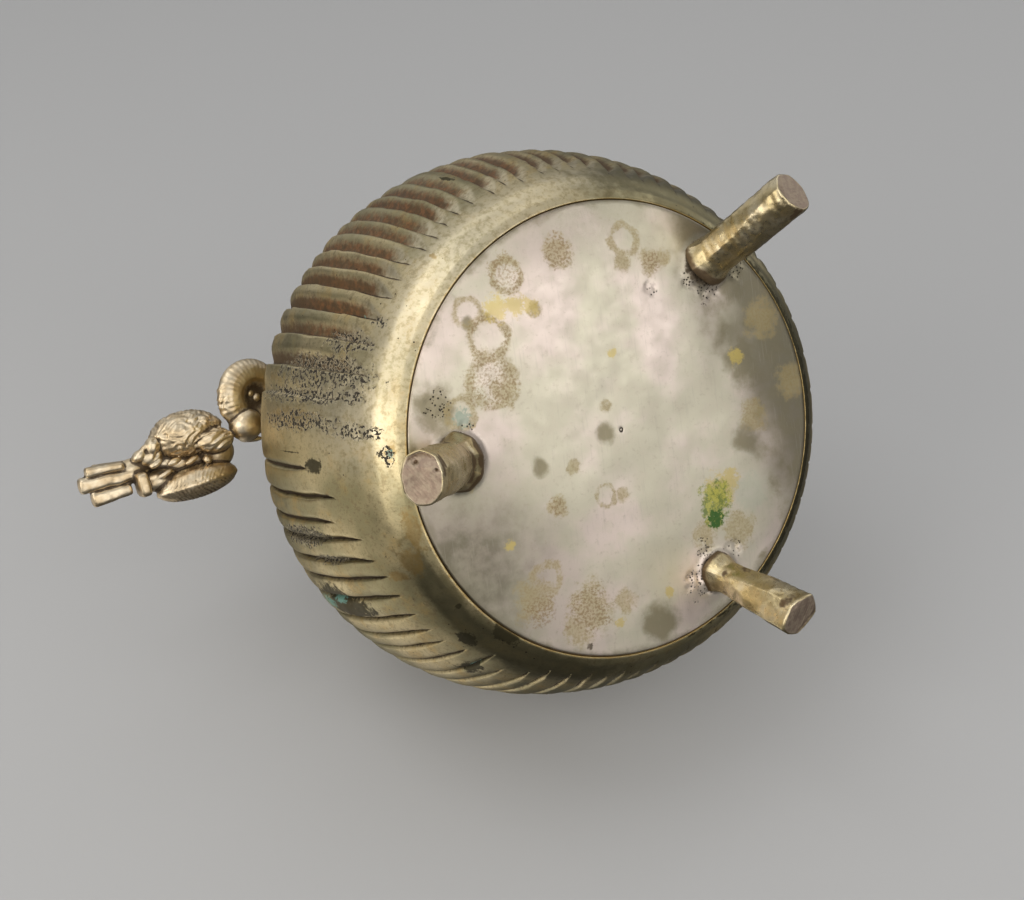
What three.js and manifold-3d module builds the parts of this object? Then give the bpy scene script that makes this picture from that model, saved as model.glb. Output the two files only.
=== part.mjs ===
// A cast metal reliquary vessel: a globular pot with fluted sides on three peg legs, closed below by a
// round plate, open above, with a small bird beside a ribbed rosette for a handle at its shoulder.
// Millimetres, +Z up. The model is laid out round the pot's own axis with the floor at z = 0, and the
// group is moved at the end so that its origin is the middle of its bounding box, at the floor.

import * as THREE from "three";
import { mergeVertices } from "three/addons/utils/BufferGeometryUtils.js";
import Module from "manifold-3d";

const wasm = await Module();
wasm.setup();

// Driving dimensions of the pot, heights above the plate's underside
const PLATE_RADIUS = 57;
const PLATE_THICKNESS = 2.6;
const PLATE_EDGE = 0.5; // its softened corners
const PLATE_SIDES = 52;
const PLATE_PROUD = 1; // how far the plate stands out below the pot's lip
const SEAT_CLEARANCE = 0.3;
const LEDGE_WIDTH = 5; // the ledge inside the pot that the plate is soldered to
const LEDGE_THICKNESS = 2.6;
const LIP_WIDTH = 1.6; // the pot's lip round the plate
const BELLY_RADIUS = 75;
const BELLY_HEIGHT = 50;
const BELLY_FULLNESS = 1.86; // exponent of the lower curve
const SHOULDER_RISE = 56;
const SHOULDER_FULLNESS = 2.33; // exponent of the upper curve
const NECK_RADIUS = 41;
const COLLAR_HEIGHT = 7;
const RIM_OVERHANG = 4.5;
const RIM_THICKNESS = 3.4;
const RIM_EDGE = { from: 0.7, to: 0.2 }; // upright part of the rim's edge, in shares of its thickness
const WALL = 3;
const COLUMNS_INSIDE = 40;
const FULL_TURN = 360;

// Flutes: rounded valleys on the one half of the pot, narrow cuts on the other
const FLUTES = 80; // places for a flute round the pot, a few of them left plain
const VALLEY = { depth: 1.5, share: 0.62 }; // share of the spacing between two flutes
const CUT = { depth: 1.1, share: 0.34 };
const VALLEYS_FROM = 192; // degrees round the pot
const VALLEYS_TO = 372;
const FLUTE_LOW_END = 5; // height where a flute starts
const FLUTE_HIGH_END = 86;
const FLUTE_ROWS = 7; // facets along a flute
const SHORT_FLUTES_AZIMUTH = 178; // the flutes start higher beside the plain panel
const SHORT_FLUTES_SPREAD = 16;
const SHORT_FLUTES_RISE = 15;
const PLAIN_PANEL_AZIMUTH = 187; // beside the leg under the bird
const PLAIN_PANEL_HALF_WIDTH = 5.5;

// Legs: how far in from the plate's edge each stands, and half the width and depth of its two ends
const LEG_HEIGHT = 28; // floor to the plate's underside
const LEG_SIDES = 10;
const BIRD_LEG_INSET = 12;
const BIRD_LEG_ROOT = [6, 5.4];
const BIRD_LEG_FOOT = [6.4, 5.3];
const RIGHT_LEG_INSET = 8;
const RIGHT_LEG_ROOT = [5.6, 5.3];
const RIGHT_LEG_FOOT = [5.9, 5.6];
const LEFT_LEG_INSET = 9.5;
const LEFT_LEG_ROOT = [4.3, 4.6];
const LEFT_LEG_FOOT = [6.2, 4.9];
const LEGS = {
  leg_below_bird: { azimuth: 180, splay: 38, inset: BIRD_LEG_INSET, root: BIRD_LEG_ROOT, foot: BIRD_LEG_FOOT },
  leg_right: { azimuth: 309, splay: 34, inset: RIGHT_LEG_INSET, root: RIGHT_LEG_ROOT, foot: RIGHT_LEG_FOOT },
  leg_left: { azimuth: 60.5, splay: 21, inset: LEFT_LEG_INSET, root: LEFT_LEG_ROOT, foot: LEFT_LEG_FOOT },
};
const LEG_SEAT_CLEARANCE = 0.3;
const FOOT_WEAR = 0.5; // depth worn flat off each leg's lowest edge

// The bird, placed from the pot's axis at the height of the handle
const HANDLE_HEIGHT = 92;
const HANDLE_AZIMUTH = 180;
const BIRD_DISTANCE = 86; // pot's axis to the middle of the bird's body
const BIRD_SIDE = 3.8; // how far that middle lies to the right of the handle's radius
const BIRD_HEADING = -5.8; // degrees, the tail turned to the left
const BIRD_ROLL = 20;
const BIRD_BODY = [13.5, 6.5, 6]; // half length, width and height
const WING = [12, 5.6, 6.6];
const WING_OFFSET = 6;
const WING_SPREAD = 7; // degrees between a wing and the body
const WING_LOCKS = 3; // ridges of feathers across each wing
const LOCK_HEIGHT = 0.9;
const HEAD_RADIUS = 6;
const HEAD_REACH = 8; // body's middle to the head's, towards the pot
const EYE_RADIUS = 1.4;
const TAIL_FEATHERS = 4;
const TAIL_LENGTH = 19;
const TAIL_FEATHER = [2.9, 3.6]; // width and height
const TAIL_START = 10; // behind the body's middle
const STUB_SIZE = [3.6, 6.2, 6.5];

// The perch between the bird and the pot: a ribbed rosette with a boss, a ball and an arm
const ROSETTE_CENTRE = [66, 17.3];
const ROSETTE_RADIUS = 10.8;
const ROSETTE_HOLLOW = 3.4; // radius of the hollow round the boss
const ROSETTE_THICKNESS = 5.4;
const ROSETTE_RIBS = 22;
const ROSETTE_RIB_DEPTH = 0.7;
const ROSETTE_TILT = 19; // degrees, its face turned towards the pot
const BOSS_RADIUS = 1.5;
const BALL_RADIUS = 4.5;
const BALL_CENTRE = [69.3, 9.8];
const ARM_REACH = 71; // pot's axis to the far end of the arm behind the ball
const ARM_SIDE = 11.5;
const ARM_SIZE = [5, 6.5]; // half its width at the far end and at the pot
const ARM_HEIGHT_SHARE = 0.55; // of its width
const ARM_RISE = 1.5;
const HANDLE_CLEARANCE = 0.3;

const rad = THREE.MathUtils.degToRad;

const castMetal = (color, roughness) =>
  new THREE.MeshStandardMaterial({ color, metalness: 1, roughness });

// Solids
function solidOf(geometry) {
  const bare = geometry.clone();
  for (const name of Object.keys(bare.attributes)) if (name !== "position") bare.deleteAttribute(name);
  const merged = mergeVertices(bare, 1e-4);
  return new wasm.Manifold(
    new wasm.Mesh({
      numProp: 3,
      vertProperties: merged.attributes.position.array,
      triVerts: new Uint32Array(merged.index.array),
    }),
  );
}

// A closed skin of points and triangles as a solid, turned inside out if its faces point inwards
function solidOfSkin(positions, index) {
  const geometry = new THREE.BufferGeometry();
  geometry.setAttribute("position", new THREE.Float32BufferAttribute(positions, 3));
  geometry.setIndex(index);
  const solid = solidOf(geometry);
  if (solid.volume() > 0) return solid;
  const turned = [];
  for (let i = 0; i < index.length; i += 3) turned.push(index[i], index[i + 2], index[i + 1]);
  geometry.setIndex(turned);
  return solidOf(geometry);
}

function geometryOf(solid) {
  const mesh = solid.getMesh();
  const geometry = new THREE.BufferGeometry();
  geometry.setAttribute("position", new THREE.BufferAttribute(new Float32Array(mesh.vertProperties), 3));
  geometry.setIndex(new THREE.BufferAttribute(new Uint32Array(mesh.triVerts), 1));
  return geometry;
}

const union = (solids) => solids.reduce((whole, solid) => whole.add(solid));

// The pot's outer radius at a height above the plate's underside
function outerRadius(height) {
  if (height < BELLY_HEIGHT) {
    const fall = 1 - Math.max(height, 0) / BELLY_HEIGHT;
    return (
      PLATE_RADIUS +
      (BELLY_RADIUS - PLATE_RADIUS) * Math.pow(1 - Math.pow(fall, BELLY_FULLNESS), 1 / BELLY_FULLNESS)
    );
  }
  const rise = Math.min((height - BELLY_HEIGHT) / SHOULDER_RISE, 1);
  return BELLY_RADIUS * Math.pow(1 - Math.pow(rise, SHOULDER_FULLNESS), 1 / SHOULDER_FULLNESS);
}

const NECK_HEIGHT =
  BELLY_HEIGHT +
  SHOULDER_RISE *
    Math.pow(1 - Math.pow(NECK_RADIUS / BELLY_RADIUS, SHOULDER_FULLNESS), 1 / SHOULDER_FULLNESS);
const RIM_TOP = NECK_HEIGHT + COLLAR_HEIGHT + RIM_THICKNESS;

// Heights spaced closer where the wall turns fast
function wallHeights(from, to, count) {
  const share = (i) => (1 - Math.cos((Math.PI * i) / count)) / 2;
  return Array.from({ length: count + 1 }, (_, i) => from + (to - from) * share(i));
}

// Degrees from one azimuth to another, between -180 and 180
const turnBetween = (from, to) => ((((to - from) % 360) + 540) % 360) - 180;

// A flute's half width in degrees and its depth at its middle: none at its ends and on the plain panel
function fluteAt(azimuth, height) {
  const inValleys = (azimuth - VALLEYS_FROM + 360) % 360 < VALLEYS_TO - VALLEYS_FROM;
  const { depth, share } = inValleys ? VALLEY : CUT;
  const half = (share * FULL_TURN) / FLUTES / 2;
  const away = turnBetween(SHORT_FLUTES_AZIMUTH, azimuth) / SHORT_FLUTES_SPREAD;
  const lowEnd = FLUTE_LOW_END + SHORT_FLUTES_RISE * Math.exp(-away * away);
  const along = (height - lowEnd) / (FLUTE_HIGH_END - lowEnd);
  const plain = Math.abs(turnBetween(PLAIN_PANEL_AZIMUTH, azimuth)) < PLAIN_PANEL_HALF_WIDTH;
  if (plain || along <= 0 || along >= 1) return { half, cut: 0 };
  return { half, cut: depth * Math.min(1, 3.5 * Math.sin(Math.PI * along)) };
}

// The wall set in by its own thickness, from a point on the outside
function innerPoint(height) {
  const step = 0.05;
  const slope = (outerRadius(height + step) - outerRadius(height - step)) / (2 * step);
  const length = Math.hypot(1, slope);
  return [outerRadius(height) - WALL / length, height + (WALL * slope) / length];
}

// Triangles between two closed rings of points, going round both in step with their angles
function zipRings(a, b, index) {
  let [i, j] = [0, 0];
  while (i < a.angles.length || j < b.angles.length) {
    const nextA = i + 1 < a.angles.length ? a.angles[i + 1] : FULL_TURN + a.angles[0];
    const nextB = j + 1 < b.angles.length ? b.angles[j + 1] : FULL_TURN + b.angles[0];
    const [p, q] = [a.first + (i % a.angles.length), b.first + (j % b.angles.length)];
    if (j >= b.angles.length || (i < a.angles.length && nextA <= nextB)) {
      index.push(p, a.first + ((i + 1) % a.angles.length), q);
      i += 1;
    } else {
      index.push(p, b.first + ((j + 1) % b.angles.length), q);
      j += 1;
    }
  }
}

// The pot: rings of points joined into one closed skin, three points to a flute where it is fluted
function potGeometry() {
  const positions = [];
  const rings = [];

  function addRing(radius, height, points) {
    const first = positions.length / 3;
    for (const [azimuth, cut] of points) {
      const angle = rad(azimuth);
      positions.push((radius - cut) * Math.cos(angle), (radius - cut) * Math.sin(angle), height + LEG_HEIGHT);
    }
    rings.push({ first, angles: points.map(([azimuth]) => azimuth) });
  }
  const plainRing = (count) => Array.from({ length: count }, (_, i) => [(i * FULL_TURN) / count, 0]);
  const flutedRing = (height) =>
    plainRing(FLUTES).flatMap(([azimuth]) => {
      const { half, cut } = fluteAt(azimuth, height);
      return [[azimuth - half, 0], [azimuth, cut], [azimuth + half, 0]];
    });
  const round = plainRing(FLUTES);
  const inside = plainRing(COLUMNS_INSIDE);

  // Up the outside
  addRing(PLATE_RADIUS + SEAT_CLEARANCE, PLATE_PROUD, round);
  addRing(PLATE_RADIUS + SEAT_CLEARANCE + LIP_WIDTH, PLATE_PROUD, round);
  for (const height of wallHeights(PLATE_PROUD, FLUTE_LOW_END, 2).slice(1)) {
    addRing(outerRadius(height), height, round);
  }
  for (const height of wallHeights(FLUTE_LOW_END, FLUTE_HIGH_END, FLUTE_ROWS).slice(1, -1)) {
    addRing(outerRadius(height), height, flutedRing(height));
  }
  for (const height of wallHeights(FLUTE_HIGH_END, NECK_HEIGHT, 3)) {
    addRing(outerRadius(height), height, round);
  }

  // Collar and rim
  addRing(NECK_RADIUS, NECK_HEIGHT + COLLAR_HEIGHT, round);
  addRing(NECK_RADIUS + RIM_OVERHANG, RIM_TOP - RIM_THICKNESS * RIM_EDGE.from, round);
  addRing(NECK_RADIUS + RIM_OVERHANG, RIM_TOP - RIM_THICKNESS * RIM_EDGE.to, round);
  addRing(NECK_RADIUS + RIM_OVERHANG * 0.7, RIM_TOP, round);
  addRing(NECK_RADIUS - WALL * 0.6, RIM_TOP, inside);
  addRing(NECK_RADIUS - WALL, RIM_TOP - WALL * 0.5, inside);

  // Down the inside to the ledge
  const ledgeBottom = PLATE_THICKNESS + SEAT_CLEARANCE;
  const ledgeTop = ledgeBottom + LEDGE_THICKNESS;
  const inner = wallHeights(PLATE_PROUD, NECK_HEIGHT, 11)
    .map(innerPoint)
    .filter(([radius, height]) => height > ledgeTop + WALL / 2 && radius > NECK_RADIUS - WALL)
    .reverse();
  addRing(NECK_RADIUS - WALL, NECK_HEIGHT - WALL * 0.3, inside);
  for (const [radius, height] of inner) addRing(radius, height, inside);
  addRing(inner[inner.length - 1][0] - WALL / 2, ledgeTop, inside);
  addRing(PLATE_RADIUS - LEDGE_WIDTH, ledgeTop, inside);
  addRing(PLATE_RADIUS - LEDGE_WIDTH, ledgeBottom, inside);
  addRing(PLATE_RADIUS + SEAT_CLEARANCE, ledgeBottom, round);

  const index = [];
  rings.forEach((ring, n) => zipRings(ring, rings[(n + 1) % rings.length], index));
  return geometryOf(solidOfSkin(positions, index));
}

// The plate: a disc with softened edges
function plateGeometry() {
  const profile = [
    [0, 0],
    [PLATE_RADIUS - PLATE_EDGE, 0],
    [PLATE_RADIUS, PLATE_EDGE],
    [PLATE_RADIUS, PLATE_THICKNESS - PLATE_EDGE],
    [PLATE_RADIUS - PLATE_EDGE, PLATE_THICKNESS],
    [0, PLATE_THICKNESS],
  ].map(([radius, height]) => new THREE.Vector2(radius, height));
  return new THREE.LatheGeometry(profile, PLATE_SIDES).rotateX(Math.PI / 2).translate(0, 0, LEG_HEIGHT);
}

// A leg: a peg with flat-sided round section, its root on the plate and its foot cut square to its axis
function legGeometry({ azimuth, splay, inset, root, foot }) {
  const outward = new THREE.Vector3(Math.cos(rad(azimuth)), Math.sin(rad(azimuth)), 0);
  const axis = outward.clone().multiplyScalar(Math.sin(rad(splay)));
  axis.z = -Math.cos(rad(splay));
  const across = new THREE.Vector3(-outward.y, outward.x, 0);
  const other = new THREE.Vector3().crossVectors(axis, across);
  const start = outward.clone().multiplyScalar(PLATE_RADIUS - inset).setZ(LEG_HEIGHT);
  const reach = (LEG_HEIGHT - foot[1] * Math.sin(rad(splay)) + FOOT_WEAR) / Math.cos(rad(splay));
  const overrun = root[1] * Math.tan(rad(splay)) + 1; // past the plate, cut off again below
  const rootAt = start.clone().addScaledVector(axis, -overrun);
  const footAt = start.clone().addScaledVector(axis, reach);
  const positions = [];
  for (const [centre, [wide, deep]] of [[rootAt, root], [footAt, foot]])
    for (let i = 0; i < LEG_SIDES; i++) {
      const turn = (2 * Math.PI * (i + 0.5)) / LEG_SIDES;
      const point = centre.clone();
      point.addScaledVector(across, wide * Math.cos(turn)).addScaledVector(other, deep * Math.sin(turn));
      positions.push(...point.toArray());
    }
  positions.push(...rootAt.toArray(), ...footAt.toArray());
  const index = [];
  for (let i = 0; i < LEG_SIDES; i++) {
    const j = (i + 1) % LEG_SIDES;
    index.push(i, LEG_SIDES + i, LEG_SIDES + j, i, LEG_SIDES + j, j);
    index.push(2 * LEG_SIDES, i, j, 2 * LEG_SIDES + 1, LEG_SIDES + j, LEG_SIDES + i);
  }
  const solid = solidOfSkin(positions, index);
  return geometryOf(solid.trimByPlane([0, 0, -1], LEG_SEAT_CLEARANCE - LEG_HEIGHT).trimByPlane([0, 0, 1], 0));
}

const ellipsoid = ([x, y, z], columns, rows) =>
  solidOf(new THREE.SphereGeometry(1, columns, rows).rotateZ(Math.PI / 2).scale(x, y, z));

// A wing: long and round, with ridges of feathers slanting across its outer side
function wingSolid(side) {
  const [long, wide, high] = WING;
  const pieces = [ellipsoid(WING, 10, 8)];
  for (let i = 0; i < WING_LOCKS; i++) {
    const x = long * (0.55 - (1.25 * i) / WING_LOCKS);
    const swell = Math.sqrt(1 - (x / long) ** 2);
    const lock = new THREE.SphereGeometry(1, 8, 6)
      .scale(long * 0.2, wide * swell + LOCK_HEIGHT, high * swell + LOCK_HEIGHT)
      .rotateY(rad(18 * side))
      .translate(x, 0, 0);
    pieces.push(solidOf(lock));
  }
  return union(pieces).rotate([0, 0, WING_SPREAD * side]).translate([0, side * WING_OFFSET, -1]);
}

// The bird, lying along +X with its tail that way and its back up, round the middle of its body
function birdSolid() {
  const pieces = [ellipsoid(BIRD_BODY, 12, 8), wingSolid(-1), wingSolid(1)];
  const head = ellipsoid([HEAD_RADIUS, HEAD_RADIUS, HEAD_RADIUS * 0.9], 12, 8);
  pieces.push(head.translate([-HEAD_REACH, 0, -0.5]));
  for (const side of [-1, 1]) {
    const eye = ellipsoid([EYE_RADIUS, EYE_RADIUS, EYE_RADIUS], 7, 5);
    pieces.push(eye.translate([-HEAD_REACH + 1, side * HEAD_RADIUS, -HEAD_RADIUS / 2]));
  }
  for (let i = 0; i < TAIL_FEATHERS; i++) {
    const place = i - (TAIL_FEATHERS - 1) / 2;
    const [wide, high] = TAIL_FEATHER;
    const feather = new THREE.BoxGeometry(TAIL_LENGTH - 1.2 * Math.abs(place), wide, high)
      .translate(TAIL_LENGTH / 2, 0, 0)
      .rotateZ(rad(place * 3))
      .translate(TAIL_START, place * wide * 0.93, 0.6 * (i % 2));
    pieces.push(solidOf(feather));
  }
  const [long, wide, high] = STUB_SIZE;
  pieces.push(solidOf(new THREE.BoxGeometry(long, wide, high).translate(TAIL_START + 3, 1, -high / 2)));
  return union(pieces);
}

// The rosette: a round dome with radial ribs, hollowed round a boss, its face down
function rosetteSolid() {
  const columns = ROSETTE_RIBS * 2;
  const profile = [
    [ROSETTE_HOLLOW, -ROSETTE_THICKNESS * 0.45, 0],
    [ROSETTE_HOLLOW * 1.5, -ROSETTE_THICKNESS * 0.62, 0.5],
    [ROSETTE_RADIUS * 0.72, -ROSETTE_THICKNESS * 0.56, 1],
    [ROSETTE_RADIUS * 0.93, -ROSETTE_THICKNESS * 0.3, 1],
    [ROSETTE_RADIUS, 0, 0.7],
    [ROSETTE_RADIUS * 0.9, ROSETTE_THICKNESS * 0.38, 0],
  ];
  const positions = [0, 0, -ROSETTE_THICKNESS * 0.2];
  for (const [radius, height, ribbed] of profile)
    for (let i = 0; i < columns; i++) {
      const angle = (2 * Math.PI * i) / columns;
      const sunk = (i % 2) * ROSETTE_RIB_DEPTH * ribbed;
      const reach = radius - sunk;
      positions.push(reach * Math.cos(angle), reach * Math.sin(angle), height + sunk * 0.6);
    }
  positions.push(0, 0, ROSETTE_THICKNESS * 0.38);
  const last = positions.length / 3 - 1;
  const index = [];
  for (let i = 0; i < columns; i++) {
    const j = (i + 1) % columns;
    index.push(0, 1 + j, 1 + i);
    for (let ring = 0; ring < profile.length - 1; ring++) {
      const [a, b] = [1 + ring * columns, 1 + (ring + 1) * columns];
      index.push(a + i, a + j, b + j, a + i, b + j, b + i);
    }
    const top = 1 + (profile.length - 1) * columns;
    index.push(top + i, top + j, last);
  }
  const boss = ellipsoid([BOSS_RADIUS, BOSS_RADIUS, BOSS_RADIUS], 8, 6);
  return solidOfSkin(positions, index).add(boss.translate([0, 0, -ROSETTE_THICKNESS * 0.35]));
}

// The pot's outside without flutes, grown by a gap, to cut the handle's arm to
function potBlank(gap) {
  const heights = wallHeights(0, NECK_HEIGHT, 20);
  const profile = [new THREE.Vector2(0, 0)];
  for (const height of heights) profile.push(new THREE.Vector2(outerRadius(height) + gap, height));
  profile.push(new THREE.Vector2(0, NECK_HEIGHT));
  return solidOf(new THREE.LatheGeometry(profile, FLUTES).rotateX(Math.PI / 2));
}

// The whole handle, at its place beside the pot. Its own layout has +X outward and +Y to the right.
function handleGeometry() {
  const bird = birdSolid().rotate([BIRD_ROLL, 0, BIRD_HEADING]).translate([BIRD_DISTANCE, BIRD_SIDE, 0]);
  const rosette = rosetteSolid().rotate([0, ROSETTE_TILT, 0]).translate([...ROSETTE_CENTRE, 0]);
  const ball = ellipsoid([BALL_RADIUS, BALL_RADIUS, BALL_RADIUS], 12, 8);
  const arm = new THREE.CylinderGeometry(...ARM_SIZE, ARM_REACH - NECK_RADIUS, 12)
    .rotateZ(-Math.PI / 2)
    .scale(1, 1, ARM_HEIGHT_SHARE)
    .translate((ARM_REACH + NECK_RADIUS) / 2, ARM_SIDE, ARM_RISE);
  const whole = union([bird, rosette, ball.translate([...BALL_CENTRE, -BALL_RADIUS / 2]), solidOf(arm)])
    .rotate([0, 0, HANDLE_AZIMUTH])
    .translate([0, 0, HANDLE_HEIGHT])
    .subtract(potBlank(HANDLE_CLEARANCE))
    .translate([0, 0, LEG_HEIGHT]);
  const largest = whole.decompose().reduce((a, b) => (b.volume() > a.volume() ? b : a));
  return geometryOf(largest);
}

// The parts
const group = new THREE.Group();
function addPart(name, geometry, material) {
  geometry.computeVertexNormals();
  const mesh = new THREE.Mesh(geometry, material);
  mesh.name = name;
  group.add(mesh);
}
addPart("vessel_body", potGeometry(), castMetal(0xa89870, 0.38));
addPart("base_plate", plateGeometry(), castMetal(0xc9c0b4, 0.25));
for (const [name, leg] of Object.entries(LEGS)) addPart(name, legGeometry(leg), castMetal(0xa8935f, 0.35));
addPart("bird_handle", handleGeometry(), castMetal(0xab9562, 0.4));

// The origin goes to the middle of the bounding box, at the floor
const bounds = new THREE.Box3().setFromObject(group);
const middle = bounds.getCenter(new THREE.Vector3());
for (const mesh of group.children) mesh.geometry.translate(-middle.x, -middle.y, -bounds.min.z);

export default group;
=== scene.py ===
import functools
import itertools
import math

import bpy
import numpy as np
from mathutils import Matrix, Vector


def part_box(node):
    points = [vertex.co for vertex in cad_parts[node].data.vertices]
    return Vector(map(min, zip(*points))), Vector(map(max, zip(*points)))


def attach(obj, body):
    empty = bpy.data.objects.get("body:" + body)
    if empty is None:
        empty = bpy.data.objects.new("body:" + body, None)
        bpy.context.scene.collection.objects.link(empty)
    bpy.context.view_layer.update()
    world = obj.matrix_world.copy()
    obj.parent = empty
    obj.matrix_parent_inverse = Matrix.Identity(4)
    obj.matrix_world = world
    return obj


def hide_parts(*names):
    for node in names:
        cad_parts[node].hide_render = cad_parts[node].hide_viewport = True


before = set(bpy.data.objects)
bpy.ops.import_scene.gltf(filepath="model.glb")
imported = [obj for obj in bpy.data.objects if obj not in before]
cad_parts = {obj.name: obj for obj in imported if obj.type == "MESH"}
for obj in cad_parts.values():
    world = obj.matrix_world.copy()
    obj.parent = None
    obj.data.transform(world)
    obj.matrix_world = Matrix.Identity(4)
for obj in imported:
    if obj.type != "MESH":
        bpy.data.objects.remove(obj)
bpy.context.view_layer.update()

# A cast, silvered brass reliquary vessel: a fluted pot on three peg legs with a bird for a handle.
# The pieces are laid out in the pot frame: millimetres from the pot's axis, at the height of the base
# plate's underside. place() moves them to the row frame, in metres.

MM = 0.001

PLATE_LOW, PLATE_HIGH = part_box("base_plate")
AXIS_X = (PLATE_LOW[0] + PLATE_HIGH[0]) / 2 / MM
AXIS_Y = (PLATE_LOW[1] + PLATE_HIGH[1]) / 2 / MM
LEG_HEIGHT = PLATE_LOW[2] / MM
PLATE_RADIUS = (PLATE_HIGH[0] - PLATE_LOW[0]) / 2 / MM
PLATE_THICKNESS = (PLATE_HIGH[2] - PLATE_LOW[2]) / MM
BODY_LOW, BODY_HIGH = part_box("vessel_body")
LIP_HEIGHT = BODY_LOW[2] / MM - LEG_HEIGHT
RIM_TOP = BODY_HIGH[2] / MM - LEG_HEIGHT

# The pot's curves, within about a millimetre of the construction model's
SEAT_GAP = 0.3
SEAM = 0.08
LEDGE_WIDTH = 5
LEDGE_THICKNESS = 2.6
BELLY_RADIUS = 74.8
BELLY_HEIGHT = 48.5
BELLY_FULLNESS = 1.68
SHOULDER_RISE = 57.2
SHOULDER_FULLNESS = 2.33
NECK_RADIUS = 41
NECK_HEIGHT = BELLY_HEIGHT + SHOULDER_RISE * (1 - (NECK_RADIUS / BELLY_RADIUS) ** SHOULDER_FULLNESS) ** (
    1 / SHOULDER_FULLNESS)
COLLAR_HEIGHT = 7
RIM_OVERHANG = 4.5
RIM_THICKNESS = 3.4
RIM_ROUND = 1.35
WALL = 3


# Meshes and noise

def place(points):
    """Points of the pot frame in the row frame, in metres."""
    return (np.asarray(points, float) + [AXIS_X, AXIS_Y, LEG_HEIGHT]) * MM


LATTICE = 64


def lumps(points, size, seed):
    """Smooth noise from -1 to 1 at points (n, 3), its lumps about size across."""
    table = np.random.RandomState(seed).uniform(-1, 1, (LATTICE,) * 3)
    cell = np.asarray(points, float) / size
    low = np.floor(cell).astype(int)
    part = cell - low
    part = part * part * (3 - 2 * part)
    total = np.zeros(len(cell))
    for corner in itertools.product((0, 1), repeat=3):
        weight = np.prod(np.where(np.array(corner, bool), part, 1 - part), axis=1)
        at = (low + corner) % LATTICE
        total += weight * table[at[:, 0], at[:, 1], at[:, 2]]
    return total


def smooth_step(value, low, high):
    part = np.clip((value - low) / (high - low), 0, 1)
    return part * part * (3 - 2 * part)


def angle_between(a, b):
    """Degrees from b to a, between -180 and 180."""
    return (a - b + 540) % 360 - 180


def make_piece(name, points, faces, material, node, marks):
    """A smooth mesh piece in place of a CAD node, from pot-frame points. Its marks become attributes."""
    mesh = bpy.data.meshes.new(name)
    mesh.from_pydata(place(points).tolist(), [], faces)
    mesh.validate()
    mesh.shade_smooth()
    for mark, values in marks.items():
        layer = mesh.attributes.new(mark, "FLOAT", "POINT")
        layer.data.foreach_set("value", np.ascontiguousarray(values, dtype=np.float32))
    piece = bpy.data.objects.new(name, mesh)
    bpy.context.scene.collection.objects.link(piece)
    mesh.materials.append(material)
    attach(piece, "root")
    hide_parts(node)


def circle(radius, turn, height):
    """Points round the axis at angles in radians."""
    return np.column_stack([radius * np.cos(turn), radius * np.sin(turn), height + np.zeros(len(turn))])


def band(a, b):
    """Faces between two rings of point numbers of the same length."""
    return [(a[i], a[(i + 1) % len(a)], b[(i + 1) % len(b)], b[i]) for i in range(len(a))]


def tube(count, columns, near, far):
    """Faces of a row of rings, closed at its ends by the points numbered near and far."""
    rings = [list(range(i * columns, (i + 1) * columns)) for i in range(count)]
    faces = [face for a, b in zip(rings, rings[1:]) for face in band(a, b)]
    faces += [(near, (i + 1) % columns, i) for i in range(columns)]
    return faces + [(rings[-1][i], rings[-1][(i + 1) % columns], far) for i in range(columns)]


def zip_band(a, angles_a, b, angles_b):
    """Triangles between two rings of different lengths, stepping round both by angle."""
    faces = []
    i = j = 0
    while i < len(a) or j < len(b):
        next_a = angles_a[i + 1] if i + 1 < len(a) else 360 + angles_a[0]
        next_b = angles_b[j + 1] if j + 1 < len(b) else 360 + angles_b[0]
        p, q = a[i % len(a)], b[j % len(b)]
        if j >= len(b) or (i < len(a) and next_a <= next_b):
            faces.append((p, a[(i + 1) % len(a)], q))
            i += 1
        else:
            faces.append((p, b[(j + 1) % len(b)], q))
            j += 1
    return faces


# Materials

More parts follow.
